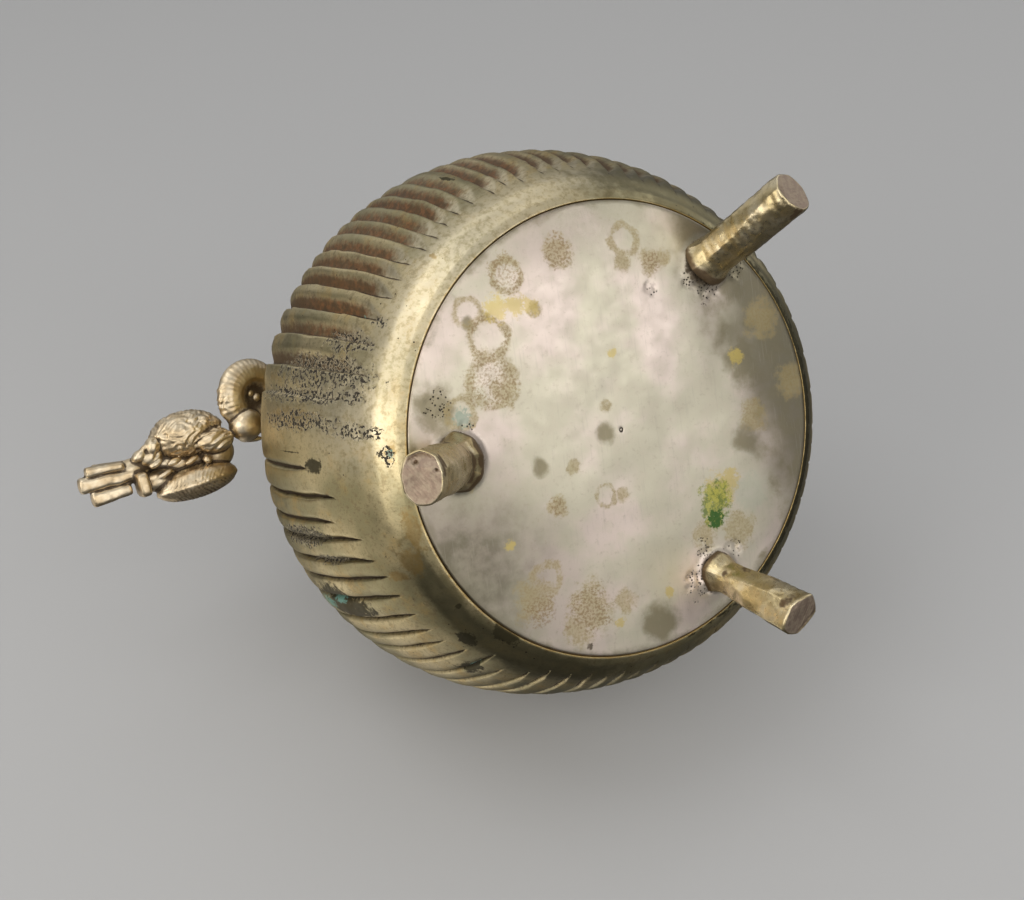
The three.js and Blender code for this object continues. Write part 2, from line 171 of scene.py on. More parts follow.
class Nodes:
    """A material's nodes, made and joined in short calls."""

    def __init__(self, name):
        self.material = bpy.data.materials.new(name)
        self.material.use_nodes = True
        self.tree = self.material.node_tree
        self.shader = self.tree.nodes["Principled BSDF"]
        self.coordinates = self.tree.nodes.new("ShaderNodeTexCoord").outputs["Object"]

    def put(self, socket, value):
        if isinstance(value, bpy.types.NodeSocket):
            self.tree.links.new(value, socket)
        elif value is not None:
            socket.default_value = value

    def mark(self, name):
        node = self.tree.nodes.new("ShaderNodeAttribute")
        node.attribute_name = name
        return node.outputs["Fac"]

    def noise(self, size_mm, detail=4.0, rough=0.55, stretch=(1, 1, 1), kind="ShaderNodeTexNoise"):
        mapping = self.tree.nodes.new("ShaderNodeMapping")
        mapping.inputs["Scale"].default_value = stretch
        self.put(mapping.inputs["Vector"], self.coordinates)
        node = self.tree.nodes.new(kind)
        self.put(node.inputs["Vector"], mapping.outputs["Vector"])
        node.inputs["Scale"].default_value = 1 / (size_mm * MM)
        if kind == "ShaderNodeTexNoise":
            node.inputs["Detail"].default_value = detail
            node.inputs["Roughness"].default_value = rough
            return node.outputs["Fac"]
        return node.outputs["Distance"]

    def math(self, operation, a, b=None, c=None, clamp=False):
        node = self.tree.nodes.new("ShaderNodeMath")
        node.operation = operation
        node.use_clamp = clamp
        for socket, value in zip(node.inputs, (a, b, c)):
            self.put(socket, value)
        return node.outputs[0]

    def ramp(self, value, low, high, to_low=0.0, to_high=1.0):
        node = self.tree.nodes.new("ShaderNodeMapRange")
        node.interpolation_type = "SMOOTHSTEP"
        ends = {"Value": value, "From Min": low, "From Max": high, "To Min": to_low, "To Max": to_high}
        for name, given in ends.items():
            self.put(node.inputs[name], given)
        return node.outputs["Result"]

    def mix(self, factor, a, b):
        node = self.tree.nodes.new("ShaderNodeMix")
        node.data_type = "RGBA"
        self.put(node.inputs["Factor"], factor)
        for name, value in (("A", a), ("B", b)):
            socket = next(s for s in node.inputs if s.name == name and s.type == "RGBA")
            self.put(socket, (*value, 1) if isinstance(value, tuple) else value)
        return next(s for s in node.outputs if s.type == "RGBA")

    def times(self, a, b):
        return self.math("MULTIPLY", a, b)

    def most(self, *values):
        """The greatest of some values."""
        return functools.reduce(lambda a, b: self.math("MAXIMUM", a, b), values)

    def layer(self, factor, tint):
        """A tint laid over the colour so far."""
        self.colour = self.mix(factor, self.colour, tint)

    def patch(self, mark, noise, low, high, ragged, most=1.0):
        """A marked patch with its edge broken up by noise."""
        marked = self.mark(mark)
        shaken = self.times(self.math("SUBTRACT", noise, 0.5), self.ramp(marked, 0, 0.35, 0, ragged))
        return self.ramp(self.math("ADD", marked, shaken), low, high, 0.0, most)

    def bump(self, height, distance_mm, strength=1.0, below=None):
        node = self.tree.nodes.new("ShaderNodeBump")
        node.inputs["Strength"].default_value = strength
        node.inputs["Distance"].default_value = distance_mm * MM
        self.put(node.inputs["Height"], height)
        self.put(node.inputs["Normal"], below)
        return node.outputs["Normal"]

    def finish(self, roughness, metallic, normal):
        looks = {"Base Color": self.colour, "Roughness": roughness, "Metallic": metallic, "Normal": normal}
        for name, value in looks.items():
            self.put(self.shader.inputs[name], value)
        return self.material


PALE_GOLD = (0.66, 0.55, 0.31)
WARM_GOLD = (0.60, 0.42, 0.16)
GREEN_GOLD = (0.40, 0.35, 0.19)
SILVER_GOLD = (0.74, 0.65, 0.46)
OLIVE = (0.175, 0.155, 0.085)
BROWN = (0.095, 0.052, 0.022)
COPPER = (0.27, 0.115, 0.042)
SOOT = (0.018, 0.013, 0.010)
OCHRE = (0.42, 0.27, 0.085)
VERDIGRIS = (0.17, 0.36, 0.29)


def body_material():
    """Worn gold, olive and silvery by turns, brown and copper in the flutes, pitted and spotted in places,
    with painted shade in dark lines along the flutes, in the seam, inside and on the pot's shaded side.
    """
    n = Nodes("body_metal")
    broad, cloud = n.noise(24, 4), n.noise(7, 5, 0.6)
    fine, grain = n.noise(1.5, 6, 0.65), n.noise(0.42, 3, 0.6)
    n.colour = n.mix(n.ramp(broad, 0.40, 0.62), GREEN_GOLD, PALE_GOLD)
    n.layer(n.ramp(cloud, 0.50, 0.72, 0, 0.6), WARM_GOLD)
    n.layer(n.ramp(fine, 0.50, 0.66, 0, 0.55), (0.30, 0.225, 0.115))
    n.layer(n.ramp(n.noise(0.55, 3, 0.6), 0.56, 0.66, 0, 0.35), (0.20, 0.15, 0.08))
    n.layer(n.times(n.mark("silvery"), n.ramp(fine, 0.40, 0.62, 0.85, 0.30)), SILVER_GOLD)
    # Olive patches; some of them are painted shade on the pot's shaded side
    n.layer(n.patch("olive", cloud, 0.25, 0.85, 2.0, 0.8), OLIVE)
    floor = n.patch("floor", fine, 0.10, 0.95, 0.9, 0.94)
    copper = n.times(n.mark("copper"), n.ramp(n.noise(1.9, 6, 0.72), 0.40, 0.66, 0, 0.85))
    n.layer(floor, n.mix(copper, BROWN, COPPER))
    # The dark line: the seam's own dark joint, painted shade along the valleys' steep walls, and dark deposit
    # with painted shade round the cuts
    line = n.patch("line", fine, 0.22, 0.85, 0.8, 0.95)
    n.layer(line, (0.045, 0.026, 0.014))
    n.layer(n.patch("ochre", fine, 0.35, 0.9, 2.2, 0.6), OCHRE)
    # Dark spots; one of them, low at azimuth 10, is painted shade
    dark = n.patch("dark", fine, 0.30, 0.70, 2.2, 0.9)
    n.layer(dark, (0.055, 0.048, 0.026))
    verdigris = n.patch("verdigris", n.noise(0.9, 5, 0.7), 0.5, 0.75, 4.0, 0.9)
    n.layer(verdigris, VERDIGRIS)
    web = n.noise(0.85, 3, 0.55)
    where = n.patch("pitted", n.noise(2.3, 4, 0.7), 0.40, 0.75, 2.6)
    rims = n.times(n.ramp(web, 0.40, 0.49), where)
    n.layer(n.times(rims, 0.6), SILVER_GOLD)
    pits = n.times(n.ramp(web, 0.51, 0.55), where)
    n.layer(n.times(pits, 0.95), SOOT)
    few = n.ramp(n.noise(2.6, kind="ShaderNodeTexVoronoi"), 0.06, 0.10, 1, 0)
    n.layer(n.times(few, n.ramp(cloud, 0.5, 0.56)), SOOT)
    dull = n.most(floor, line, pits, verdigris)
    roughness = n.math("ADD", n.ramp(cloud, 0.3, 0.7, 0.33, 0.46), n.times(n.most(dull, dark), 0.2))
    metallic = n.math("SUBTRACT", 1.0, n.most(n.times(dull, 0.5), verdigris), clamp=True)
    normal = n.bump(grain, 0.045, 0.55)
    normal = n.bump(n.noise(1.2, 5, 0.7), 0.11, 0.4, normal)
    normal = n.bump(pits, -0.4, 1.0, normal)
    return n.finish(roughness, metallic, normal)


def plate_material():
    """Sanded silver over brass, clouded pink and green, with brown rings, olive dirt and a green spot; olive
    towards the rim, and painted shade over the far side, low on the left and along the top edge.
    """
    n = Nodes("plate_metal")
    broad, cloud = n.noise(19, 4), n.noise(5.5, 5, 0.6)
    fine, grain = n.noise(1.3, 6, 0.7), n.noise(0.4, 4, 0.7)
    n.colour = n.mix(n.ramp(broad, 0.38, 0.62), (0.60, 0.555, 0.43), (0.72, 0.61, 0.535))
    n.layer(n.ramp(cloud, 0.48, 0.7, 0, 0.5), (0.64, 0.575, 0.46))
    n.layer(n.ramp(fine, 0.54, 0.72, 0, 0.38), (0.42, 0.355, 0.26))
    # Olive dirt in spots, olive towards the rim, and olive painted shade over the far side
    n.layer(n.patch("olive", cloud, 0.15, 1.0, 1.8, 0.85), (0.245, 0.21, 0.125))
    n.layer(n.times(n.mark("shade"), n.ramp(cloud, 0.3, 0.7, 1.0, 0.7)), (0.16, 0.142, 0.098))
    dots = n.ramp(n.noise(0.65, 4, 0.6), 0.44, 0.60)
    stain = n.patch("stain", n.noise(2.6, 6, 0.7), 0.15, 0.95, 2.4)
    n.layer(n.times(stain, 0.58), (0.47, 0.385, 0.20))
    n.layer(n.times(stain, n.times(dots, 0.24)), (0.28, 0.18, 0.07))
    speckle = n.patch("speckle", n.noise(2.1, 6, 0.7), 0.35, 0.75, 2.4)
    n.layer(n.times(speckle, n.times(dots, 0.42)), (0.26, 0.155, 0.06))
    n.layer(n.patch("yellow", n.noise(1.8, 6, 0.75), 0.35, 0.9, 3.0, 0.62), (0.60, 0.46, 0.12))
    green = n.patch("green", n.noise(2.2, 6, 0.75), 0.40, 0.80, 2.6, 0.85)
    n.layer(green, n.mix(n.ramp(fine, 0.42, 0.58), (0.13, 0.19, 0.025), (0.46, 0.44, 0.07)))
    n.layer(n.patch("deep_green", n.noise(1.1, 5, 0.75), 0.45, 0.75, 3.2, 0.9), (0.03, 0.115, 0.02))
    pale = n.patch("pale", fine, 0.2, 0.9, 1.6, 0.45)
    n.layer(pale, (0.50, 0.52, 0.40))
    verdigris = n.patch("verdigris", n.noise(0.9, 5, 0.7), 0.40, 0.9, 3.0, 0.6)
    n.layer(verdigris, (0.27, 0.37, 0.30))
    cells = n.ramp(n.noise(0.8, kind="ShaderNodeTexVoronoi"), 0.2, 0.34, 1, 0)
    pits = n.times(cells, n.patch("pitted", n.noise(1.7, 4, 0.7), 0.42, 0.62, 2.4))
    dark = n.patch("dark", fine, 0.35, 0.8, 1.6, 0.88)
    n.layer(dark, (0.085, 0.06, 0.033))
    n.layer(n.times(pits, 0.9), SOOT)
    scratch = n.ramp(n.noise(0.5, 2, 0.5, (1, 0.06, 1)), 0.6, 0.68, 0, 0.14)
    n.layer(scratch, (0.42, 0.37, 0.31))
    dull = n.most(green, dark, verdigris, pits)
    roughness = n.math("ADD", n.ramp(cloud, 0.3, 0.7, 0.36, 0.45), n.times(n.most(stain, dull), 0.12))
    metallic = n.math("SUBTRACT", 1.0, n.times(dull, 0.5), clamp=True)
    normal = n.bump(grain, 0.035, 0.5)
    normal = n.bump(fine, 0.05, 0.3, normal)
    normal = n.bump(pits, -0.25, 0.8, normal)
    return n.finish(roughness, metallic, normal)


def leg_material():
    """Yellow brass, hammered and filed bright, brown in the hollows and darker near the root, with painted
    shade down one side; cut ends pinkish with file marks.
    """
    n = Nodes("leg_metal")
    fine, coarse = n.noise(1.5, 6, 0.65), n.noise(6, 4)
    n.colour = n.mix(n.ramp(coarse, 0.4, 0.65), (0.58, 0.47, 0.26), (0.78, 0.68, 0.47))
    n.layer(n.ramp(fine, 0.52, 0.68, 0, 0.55), (0.36, 0.275, 0.13))
    cut = n.mark("cut")
    n.layer(cut, n.mix(n.ramp(fine, 0.4, 0.6), (0.27, 0.20, 0.15), (0.38, 0.30, 0.22)))
    # The hollow mark: brown in dents and holes, darker near the root, and painted shade down one side
    hollow = n.patch("hollow", fine, 0.40, 0.80, 0.7, 0.9)
    n.layer(hollow, BROWN)
    roughness = n.math("ADD", n.ramp(fine, 0.3, 0.7, 0.24, 0.36), n.times(n.most(hollow, cut), 0.14))
    metallic = n.math("SUBTRACT", 1.0, n.times(hollow, 0.4), clamp=True)
    normal = n.bump(n.noise(0.45, 4, 0.6), 0.05, 0.5)
    normal = n.bump(n.noise(1.4, 4, 0.6), 0.10, 0.45, normal)
    return n.finish(roughness, metallic, normal)


def handle_material():
    """Pale brass, brighter on the high parts and dark brown between the feathers, as patina with painted
    shade in the creases and a painted shadow on the wing underneath.
    """
    n = Nodes("handle_metal")
    fine = n.noise(1.1, 5, 0.65)
    # The hollow mark: patina between the feathers, painted shade in the creases and a painted shadow on the
    # wing underneath
    hollow = n.patch("hollow", fine, 0.45, 1.02, 0.6, 0.92)
    n.colour = n.mix(n.ramp(n.noise(4.5, 4), 0.4, 0.62), (0.66, 0.52, 0.33), (0.80, 0.68, 0.49))
    n.layer(n.ramp(fine, 0.56, 0.75, 0, 0.4), (0.36, 0.26, 0.14))
    n.layer(hollow, (0.055, 0.032, 0.017))
    roughness = n.math("ADD", n.ramp(fine, 0.3, 0.7, 0.32, 0.44), n.times(hollow, 0.2))
    metallic = n.math("SUBTRACT", 1.0, n.times(hollow, 0.4), clamp=True)
    normal = n.bump(n.noise(0.45, 4, 0.6), 0.04, 0.5)
    return n.finish(roughness, metallic, normal)


# The pot

# Where the flutes stand round the pot, in degrees, and how far up each one starts: narrow cuts, then valleys
CUT_PLACES = [104, 109, 114.5, 118.5, 124, 128.7, 133.8, 138.4, 142.4, 147.1, 152.5, 157.3, 161.5, 166.2, 170,
              175, 180.5]
CUT_STARTS = [0.24, 0.27, 0.27, 0.34, 0.42, 0.31, 0.41, 0.47, 0.47, 0.47, 0.46, 0.46, 0.49, 0.52, 0.65, 0.60,
              0.74]
VALLEY_PLACES = [194.8, 200.6, 206.9, 212.3, 217.4, 221.8, 225.7, 230.1, 233.8, 237.7, 241.3, 245.4, 250.5,
                 254.1, 257.8, 263.2, 266.9, 270.9, 275, 279.4, 283.7, 287.4, 291.8]
VALLEY_STARTS = [0.50, 0.37, 0.38, 0.37, 0.38, 0.39, 0.39, 0.36, 0.36, 0.38, 0.39, 0.39, 0.37, 0.39, 0.36,
                 0.38, 0.38, 0.39, 0.38, 0.30, 0.29, 0.28, 0.29]
FLUTES_BEHIND = 37
VALLEYS_TO = 372
BEHIND = [VALLEY_PLACES[-1] + (CUT_PLACES[0] + 360 - VALLEY_PLACES[-1]) * (i + 1) / (FLUTES_BEHIND + 1)
          for i in range(FLUTES_BEHIND)]
PLACES = np.array(CUT_PLACES + VALLEY_PLACES + BEHIND)
STARTS = np.array(CUT_STARTS + VALLEY_STARTS + [0.27 + 0.02 * math.sin(3 * i) for i in range(FLUTES_BEHIND)])
IS_VALLEY = (PLACES > 190) & (PLACES < VALLEYS_TO)
FLUTES = len(PLACES)
SPACING = 4.6
VALLEY_DEPTH = 1.9
CUT_DEPTH = 1.4
FLUTE_TOP = 1.45
# How far the flutes lean on their way up, in degrees for a climb of one, at azimuths from 60 to 420
LEAN_AT = [60, 98, 104, 110, 118, 128, 142, 157, 175, 207, 233, 250, 258, 267, 275, 284, 294, 330, 420]
LEAN = [-2, -9, -11, -7, -4, -4.5, -2, -0.5, 1, 1.7, 1.5, 4, 6.5, 7.5, 8.5, 10, 10, 2, -2]
# Shares of the way from one flute to the next where the mesh has a column
VALLEY_COLUMNS = [0, 0.03, 0.065, 0.11, 0.17, 0.24, 0.32, 0.41, 0.5, 0.59, 0.68, 0.77, 0.85, 0.91, 0.95, 0.98]
CUT_COLUMNS = [0, 0.025, 0.055, 0.09, 0.14, 0.21, 0.31, 0.45, 0.6, 0.73, 0.83, 0.89, 0.93, 0.96, 0.985]
BEHIND_COLUMNS = [0, 0.06, 0.14, 0.36, 0.62, 0.88, 0.95]
GAP_COLUMNS = 60  # columns in the plain gap between the cuts and the valleys
SIDE_ROWS = 94
FIRST_HEIGHT = 1.6
LIP_EASE = 0.75
# Where the flutes' noise is laid out: a radius and the height for a climb of one, in mm
LAYOUT_RADIUS, LAYOUT_CLIMB = 75, 45
SEAM_SHADE_AT = 150  # the azimuth at the middle of the seam's painted shade


def outer_radius(height):
    height = np.asarray(height, float)
    fall = 1 - np.clip(height, 0, BELLY_HEIGHT) / BELLY_HEIGHT
    low = PLATE_RADIUS + (BELLY_RADIUS - PLATE_RADIUS) * (1 - fall ** BELLY_FULLNESS) ** (1 / BELLY_FULLNESS)
    rise = np.clip((height - BELLY_HEIGHT) / SHOULDER_RISE, 0, 1)
    high = BELLY_RADIUS * (1 - rise ** SHOULDER_FULLNESS) ** (1 / SHOULDER_FULLNESS)
    return np.where(height < BELLY_HEIGHT, low, high)


def climb(height):
    """How far up the side a height is: 0 at the plate, 1 at the belly, 2 at the top of the curve."""
    height = np.asarray(height, float)
    low = np.arccos(1 - np.clip(height, 0, BELLY_HEIGHT) / BELLY_HEIGHT)
    high = np.arcsin(np.clip((height - BELLY_HEIGHT) / SHOULDER_RISE, 0, 1))
    return (low + high) / (math.pi / 2)


def height_of(climbed):
    climbed = np.asarray(climbed, float)
    low = BELLY_HEIGHT * (1 - np.cos(np.clip(climbed, 0, 1) * math.pi / 2))
    return low + SHOULDER_RISE * np.sin(np.clip(climbed - 1, 0, 1) * math.pi / 2)


def leaned(azimuth, climbed):
    """Where a line of the flutes' layout has got to at a climb."""
    turned = np.where(azimuth < LEAN_AT[0], azimuth + 360, azimuth)
    return azimuth + np.interp(turned, LEAN_AT, LEAN) * np.clip(climbed - 0.35, 0, 0.75)


def flute_cut(azimuth, climbed):
    """At places of the flutes' layout: the depth cut into the pot in mm, and three marks from 0 to 1 for a
    valley's floor, the dark line along a flute (painted shade at a valley's steep wall, and dark deposit with
    painted shade round a cut) and the silvery ramp at its low end."""
    rng = np.random.RandomState(11)
    deep = rng.uniform(0.8, 1.2, FLUTES)
    deep[17] = 0.35
    turned = np.where(azimuth < PLACES[0], azimuth + 360, azimuth)
    number = np.clip(np.searchsorted(PLACES, turned + 1e-6) - 1, 0, FLUTES - 1)
    after_number = (number + 1) % FLUTES
    place = PLACES[number]
    next_place = np.where(number + 1 < FLUTES, PLACES[after_number], PLACES[0] + 360)
    around = circle(LAYOUT_RADIUS, np.radians(azimuth), LAYOUT_CLIMB * climbed)
    stray = 0.05 * lumps(around, 6, 12) + 0.025 * lumps(around, 2.2, 13)
    after = (turned - place) / SPACING + stray
    before = (next_place - turned) / SPACING - stray
    out_of = smooth_step(FLUTE_TOP - climbed, 0, 0.16)
    depth, floor, line, ramp_end = (np.zeros_like(azimuth) for _ in range(4))
    for near, away in ((number, after), (after_number, -before)):
        into = climbed - STARTS[near]
        keep = out_of * deep[near]
        valley = IS_VALLEY[near]
        broad = 0.16 + 0.66 * smooth_step(into, -0.02, 0.18)
        ramp = np.where(away >= 0, 1 - smooth_step(away / broad, 0.06, 1), smooth_step(away, -0.085, 0.0))
        whole = smooth_step(into, -0.02, 0.24)
        depth += np.where(valley, keep * VALLEY_DEPTH * whole * ramp, 0)
        brown = keep * smooth_step(into, 0.06, 0.24) * np.where(
            away >= 0, 1 - smooth_step(away / broad, 0.30, 1.0), smooth_step(away, -0.06, 0.0))
        floor = np.maximum(floor, np.where(valley, brown, 0))
        # Painted shade: a thin dark line along the foot of the valley's steep wall
        thin = np.exp(-((away - 0.02) / 0.045) ** 2) * smooth_step(into, -0.01, 0.05) * out_of
        line = np.maximum(line, np.where(valley, thin * (1 - 0.45 * smooth_step(into, 0.15, 0.5)), 0))
        pale = smooth_step(into, -0.03, 0.03) * (1 - smooth_step(into, 0.12, 0.26))
        pale *= np.where(away >= 0.05, 1 - smooth_step(away / broad, 0.7, 1.1), 0)
        ramp_end = np.maximum(ramp_end, np.where(valley, pale, 0))
        tip = smooth_step(into, 0.0, 0.16)
        half = np.where(away < 0, 0.065, 0.13) * (0.3 + 0.7 * tip)
        groove = np.exp(-(away / half) ** 2) * smooth_step(into, -0.01, 0.05)
        land = 0.34 * smooth_step(into, 0, 0.2) * np.exp(-(away / 0.3) ** 2)
        depth += np.where(valley, 0, keep * (CUT_DEPTH * groove + land))
        # Dark deposit and painted shade round a cut, wider on its gentler, higher-azimuth side
        shade = np.exp(-(away / np.where(away < 0, 0.06, 0.17)) ** 2) * smooth_step(into, 0.0, 0.06) * out_of
        line = np.maximum(line, np.where(valley, 0, shade))
    return depth, floor, line, ramp_end


# Places on the pot that differ: azimuth, climb and half size in degrees and in climb for each kind
BODY_SPOTS = {
        "pitted": [(200.5, 0.66, 3.4, 0.34), (195.6, 0.8, 1.8, 0.34), (207, 0.56, 2.4, 0.14),
        (190.5, 0.82, 2, 0.26), (189, 0.42, 1.6, 0.16), (212.3, 0.41, 1.2, 0.05), (167, 0.95, 2.4, 0.2),
        (161.8, 0.8, 1.1, 0.12), (196, 0.5, 1.6, 0.12), (184, 0.24, 2.2, 0.05)],
        "verdigris": [(151.5, 0.92, 0.7, 0.045), (150, 1.04, 1.3, 0.06), (213, 0.55, 0.3, 0.012),
        (128.6, 0.5, 0.7, 0.03), (184.5, 0.22, 1, 0.03)],
        # The dark spot at azimuth 10, low on the pot, is painted shade on the pot's shaded side
        "dark": [(151.5, 0.92, 4.2, 0.11), (149.5, 0.86, 2.6, 0.16), (136.4, 0.33, 2.4, 0.05),
        (128, 0.55, 2.2, 0.07), (144.7, 0.2, 0.8, 0.03), (181.9, 0.7, 1.5, 0.05), (167, 0.92, 1.8, 0.17),
        (162, 0.8, 0.8, 0.1), (177.5, 0.84, 0.16, 0.05), (184.3, 0.86, 0.16, 0.07),
        (168.3, 0.58, 0.13, 0.08), (250, 0.73, 0.4, 0.06), (131, 0.13, 4, 0.07), (10, 0.13, 60, 0.04)],
        "ochre": [(157, 0.4, 1.3, 0.07), (159.5, 0.28, 4, 0.07), (229.7, 0.32, 0.7, 0.03),
        (191, 0.85, 2.2, 0.2), (166, 0.19, 6, 0.05), (184.5, 0.22, 2.4, 0.05)],
        # The olive spots at 300 and 355 are painted shade on the pot's shaded side
        "olive": [(120, 0.25, 26, 0.14), (150, 0.24, 14, 0.09), (300, 0.3, 30, 0.2), (355, 0.14, 75, 0.12)],
        "copper": [(234, 0.8, 14, 0.6), (252, 0.75, 14, 0.45), (214, 0.72, 8, 0.24)],
        "silvery": [(232, 0.26, 44, 0.17), (192, 0.42, 10, 0.24), (268, 0.3, 14, 0.1)],
}
BODY_MARKS = ("floor", "line", "silvery", "copper", "pitted", "verdigris", "dark", "ochre", "olive")


def spot_mark(kind, azimuth, climbed):
    """A spot's value falls from 1 in its middle past a half at its edge to 0 outside it."""
    total = np.zeros_like(azimuth)
    for at, up, half, tall in BODY_SPOTS.get(kind, ()):
        away = np.hypot(angle_between(azimuth, at) / half, (climbed - up) / tall)
        total = np.maximum(total, np.clip(1.5 - away, 0, 1))
    return total


def flute_columns():
    """The columns of the fluted side, as places of the flutes' layout, in order from 0 to 360."""
    columns = []
    for k in range(FLUTES):
        wide = (PLACES[k + 1] if k + 1 < FLUTES else PLACES[0] + 360) - PLACES[k]
        if wide > 2 * SPACING:
            shares = np.linspace(0, 1, GAP_COLUMNS)[:-1] ** 1.15
        elif k >= len(CUT_PLACES) + len(VALLEY_PLACES):
            shares = np.array(BEHIND_COLUMNS)
        else:
            shares = np.array(VALLEY_COLUMNS if IS_VALLEY[k] else CUT_COLUMNS)
            shares = shares
        columns.append(PLACES[k] + wide * shares)
    return np.sort(np.concatenate(columns) % 360)


def make_body():
    columns = flute_columns()
    plain = np.arange(180) * 2.0
    points, rings, marks = [], [], {name: [] for name in BODY_MARKS}

    def add_ring(angles, radius, height, climbed=None, **given):
        first = sum(len(p) for p in points)
        points.append(circle(radius, np.radians(angles), height))
        rings.append((np.arange(first, first + len(angles)), angles))
        for name in BODY_MARKS:
            spots = np.zeros(len(angles)) if climbed is None else spot_mark(name, angles, climbed)
            marks[name].append(np.maximum(spots, given.get(name, 0)))

    # The seam and the lip round the plate: the seam is opened a little and darkened with painted shade on the
    # side that faces away from the light
    seat = PLATE_RADIUS + SEAM
    seam_gap_and_shade = 0.35 + 0.65 * smooth_step(-np.abs(angle_between(columns, SEAM_SHADE_AT)), -95, -70)
    add_ring(columns, seat, LIP_HEIGHT + 1.0, line=1.0)
    add_ring(columns, seat + 0.02, LIP_HEIGHT - 0.2, line=0.7, ochre=1.0)
    add_ring(columns, seat + 0.10 + 0.06 * seam_gap_and_shade, LIP_HEIGHT - 0.46, line=0.5 * seam_gap_and_shade, ochre=1.2)
    add_ring(columns, seat + 0.32, LIP_HEIGHT - 0.5, climbed=0.12, ochre=0.8 * seam_gap_and_shade)
    add_ring(columns, seat + 0.8, LIP_HEIGHT - 0.26, climbed=0.14)
    add_ring(columns, seat + 1.45, LIP_HEIGHT + 0.16, climbed=0.16)

    # The fluted side, its rows even along the curve
    for climbed in np.linspace(float(climb(FIRST_HEIGHT)), FLUTE_TOP + 0.01, SIDE_ROWS):
        height = float(height_of(climbed))
        cut, floor, line, pale = flute_cut(columns, np.full_like(columns, climbed))
        angles = leaned(columns, climbed)
        base = float(outer_radius(height)) - LIP_EASE * (1 - float(smooth_step(height, FIRST_HEIGHT, 6)))
        around = circle(base, np.radians(angles), height)
        rough = 0.15 * lumps(around, 13, 1) + 0.06 * lumps(around, 4.5, 2)
        pits = 0.3 * np.clip(lumps(around, 1.3, 3), 0, 1) + 0.15 * np.clip(lumps(around, 2.9, 4), 0, 1)
        pits *= smooth_step(spot_mark("pitted", angles, climbed), 0.3, 0.8)
        hollow = 0.16 * math.exp(-((climbed - 0.225) / 0.04) ** 2)
        radius = base - cut + rough - pits - hollow - 0.1
        add_ring(angles, radius, height, climbed=climbed, floor=floor, line=line, silvery=pale)

    # The plain shoulder, collar and rim
    for climbed in np.linspace(FLUTE_TOP + 0.02, float(climb(NECK_HEIGHT - 0.2)), 12):
        height = float(height_of(climbed))
        around = circle(40, np.radians(plain), height)
        add_ring(plain, float(outer_radius(height)) + 0.2 * lumps(around, 12, 5), height, climbed=climbed)
    add_ring(plain, NECK_RADIUS + 0.25, NECK_HEIGHT, dark=0.5)
    for share in np.linspace(0.12, 1, 7):
        radius = NECK_RADIUS - 0.6 * math.sin(math.pi * share)
        add_ring(plain, radius, NECK_HEIGHT + COLLAR_HEIGHT * share, dark=0.45 * (1 - share))
    rim_edge = NECK_RADIUS + RIM_OVERHANG
    add_ring(plain, rim_edge - 1.8, RIM_TOP - RIM_THICKNESS + 0.35)
    for turn in np.radians(np.linspace(-80, 90, 9)):
        radius = rim_edge - RIM_ROUND + RIM_ROUND * math.cos(turn)
        add_ring(plain, radius, RIM_TOP - 1.4 + RIM_ROUND * math.sin(turn))
    add_ring(plain, NECK_RADIUS - WALL * 0.5, RIM_TOP - 0.05)
    add_ring(plain, NECK_RADIUS - WALL * 0.85, RIM_TOP - 0.5)
    add_ring(plain, NECK_RADIUS - WALL, RIM_TOP - 1.6)

    # The inside, down to the ledge behind the plate, darkened with olive and dark painted shade, most under
    # the ledge
    add_ring(plain, NECK_RADIUS - WALL, NECK_HEIGHT - 0.8, olive=0.5)
    ledge_low = PLATE_THICKNESS + SEAT_GAP
    ledge_high = ledge_low + LEDGE_THICKNESS
    for share in np.linspace(0.03, 0.985, 26):
        height = ledge_high + 1.5 + (NECK_HEIGHT - WALL - ledge_high - 1.5) * (1 - share)
        slope = (float(outer_radius(height + 0.05)) - float(outer_radius(height - 0.05))) / 0.1
        length = math.hypot(1, slope)
        radius = max(float(outer_radius(height)) - WALL / length, NECK_RADIUS - WALL)
        add_ring(plain, radius, max(height + WALL * slope / length, ledge_high + 0.3), olive=0.7, dark=0.42)
    add_ring(plain, PLATE_RADIUS - LEDGE_WIDTH, ledge_high, dark=0.5)
    add_ring(plain, PLATE_RADIUS - LEDGE_WIDTH, ledge_low, dark=0.8)
    add_ring(plain, seat, ledge_low, dark=1.0)

    faces = []
    for (a, angles_a), (b, angles_b) in zip(rings, rings[1:] + rings[:1]):
        if len(a) == len(b):
            faces += band(a.tolist(), b.tolist())
        else:
            faces += zip_band(a.tolist(), angles_a, b.tolist(), angles_b)
    make_piece("fluted_pot", np.concatenate(points), faces, body_material(), "vessel_body",
               {name: np.concatenate(values) for name, values in marks.items()})


# The base plate

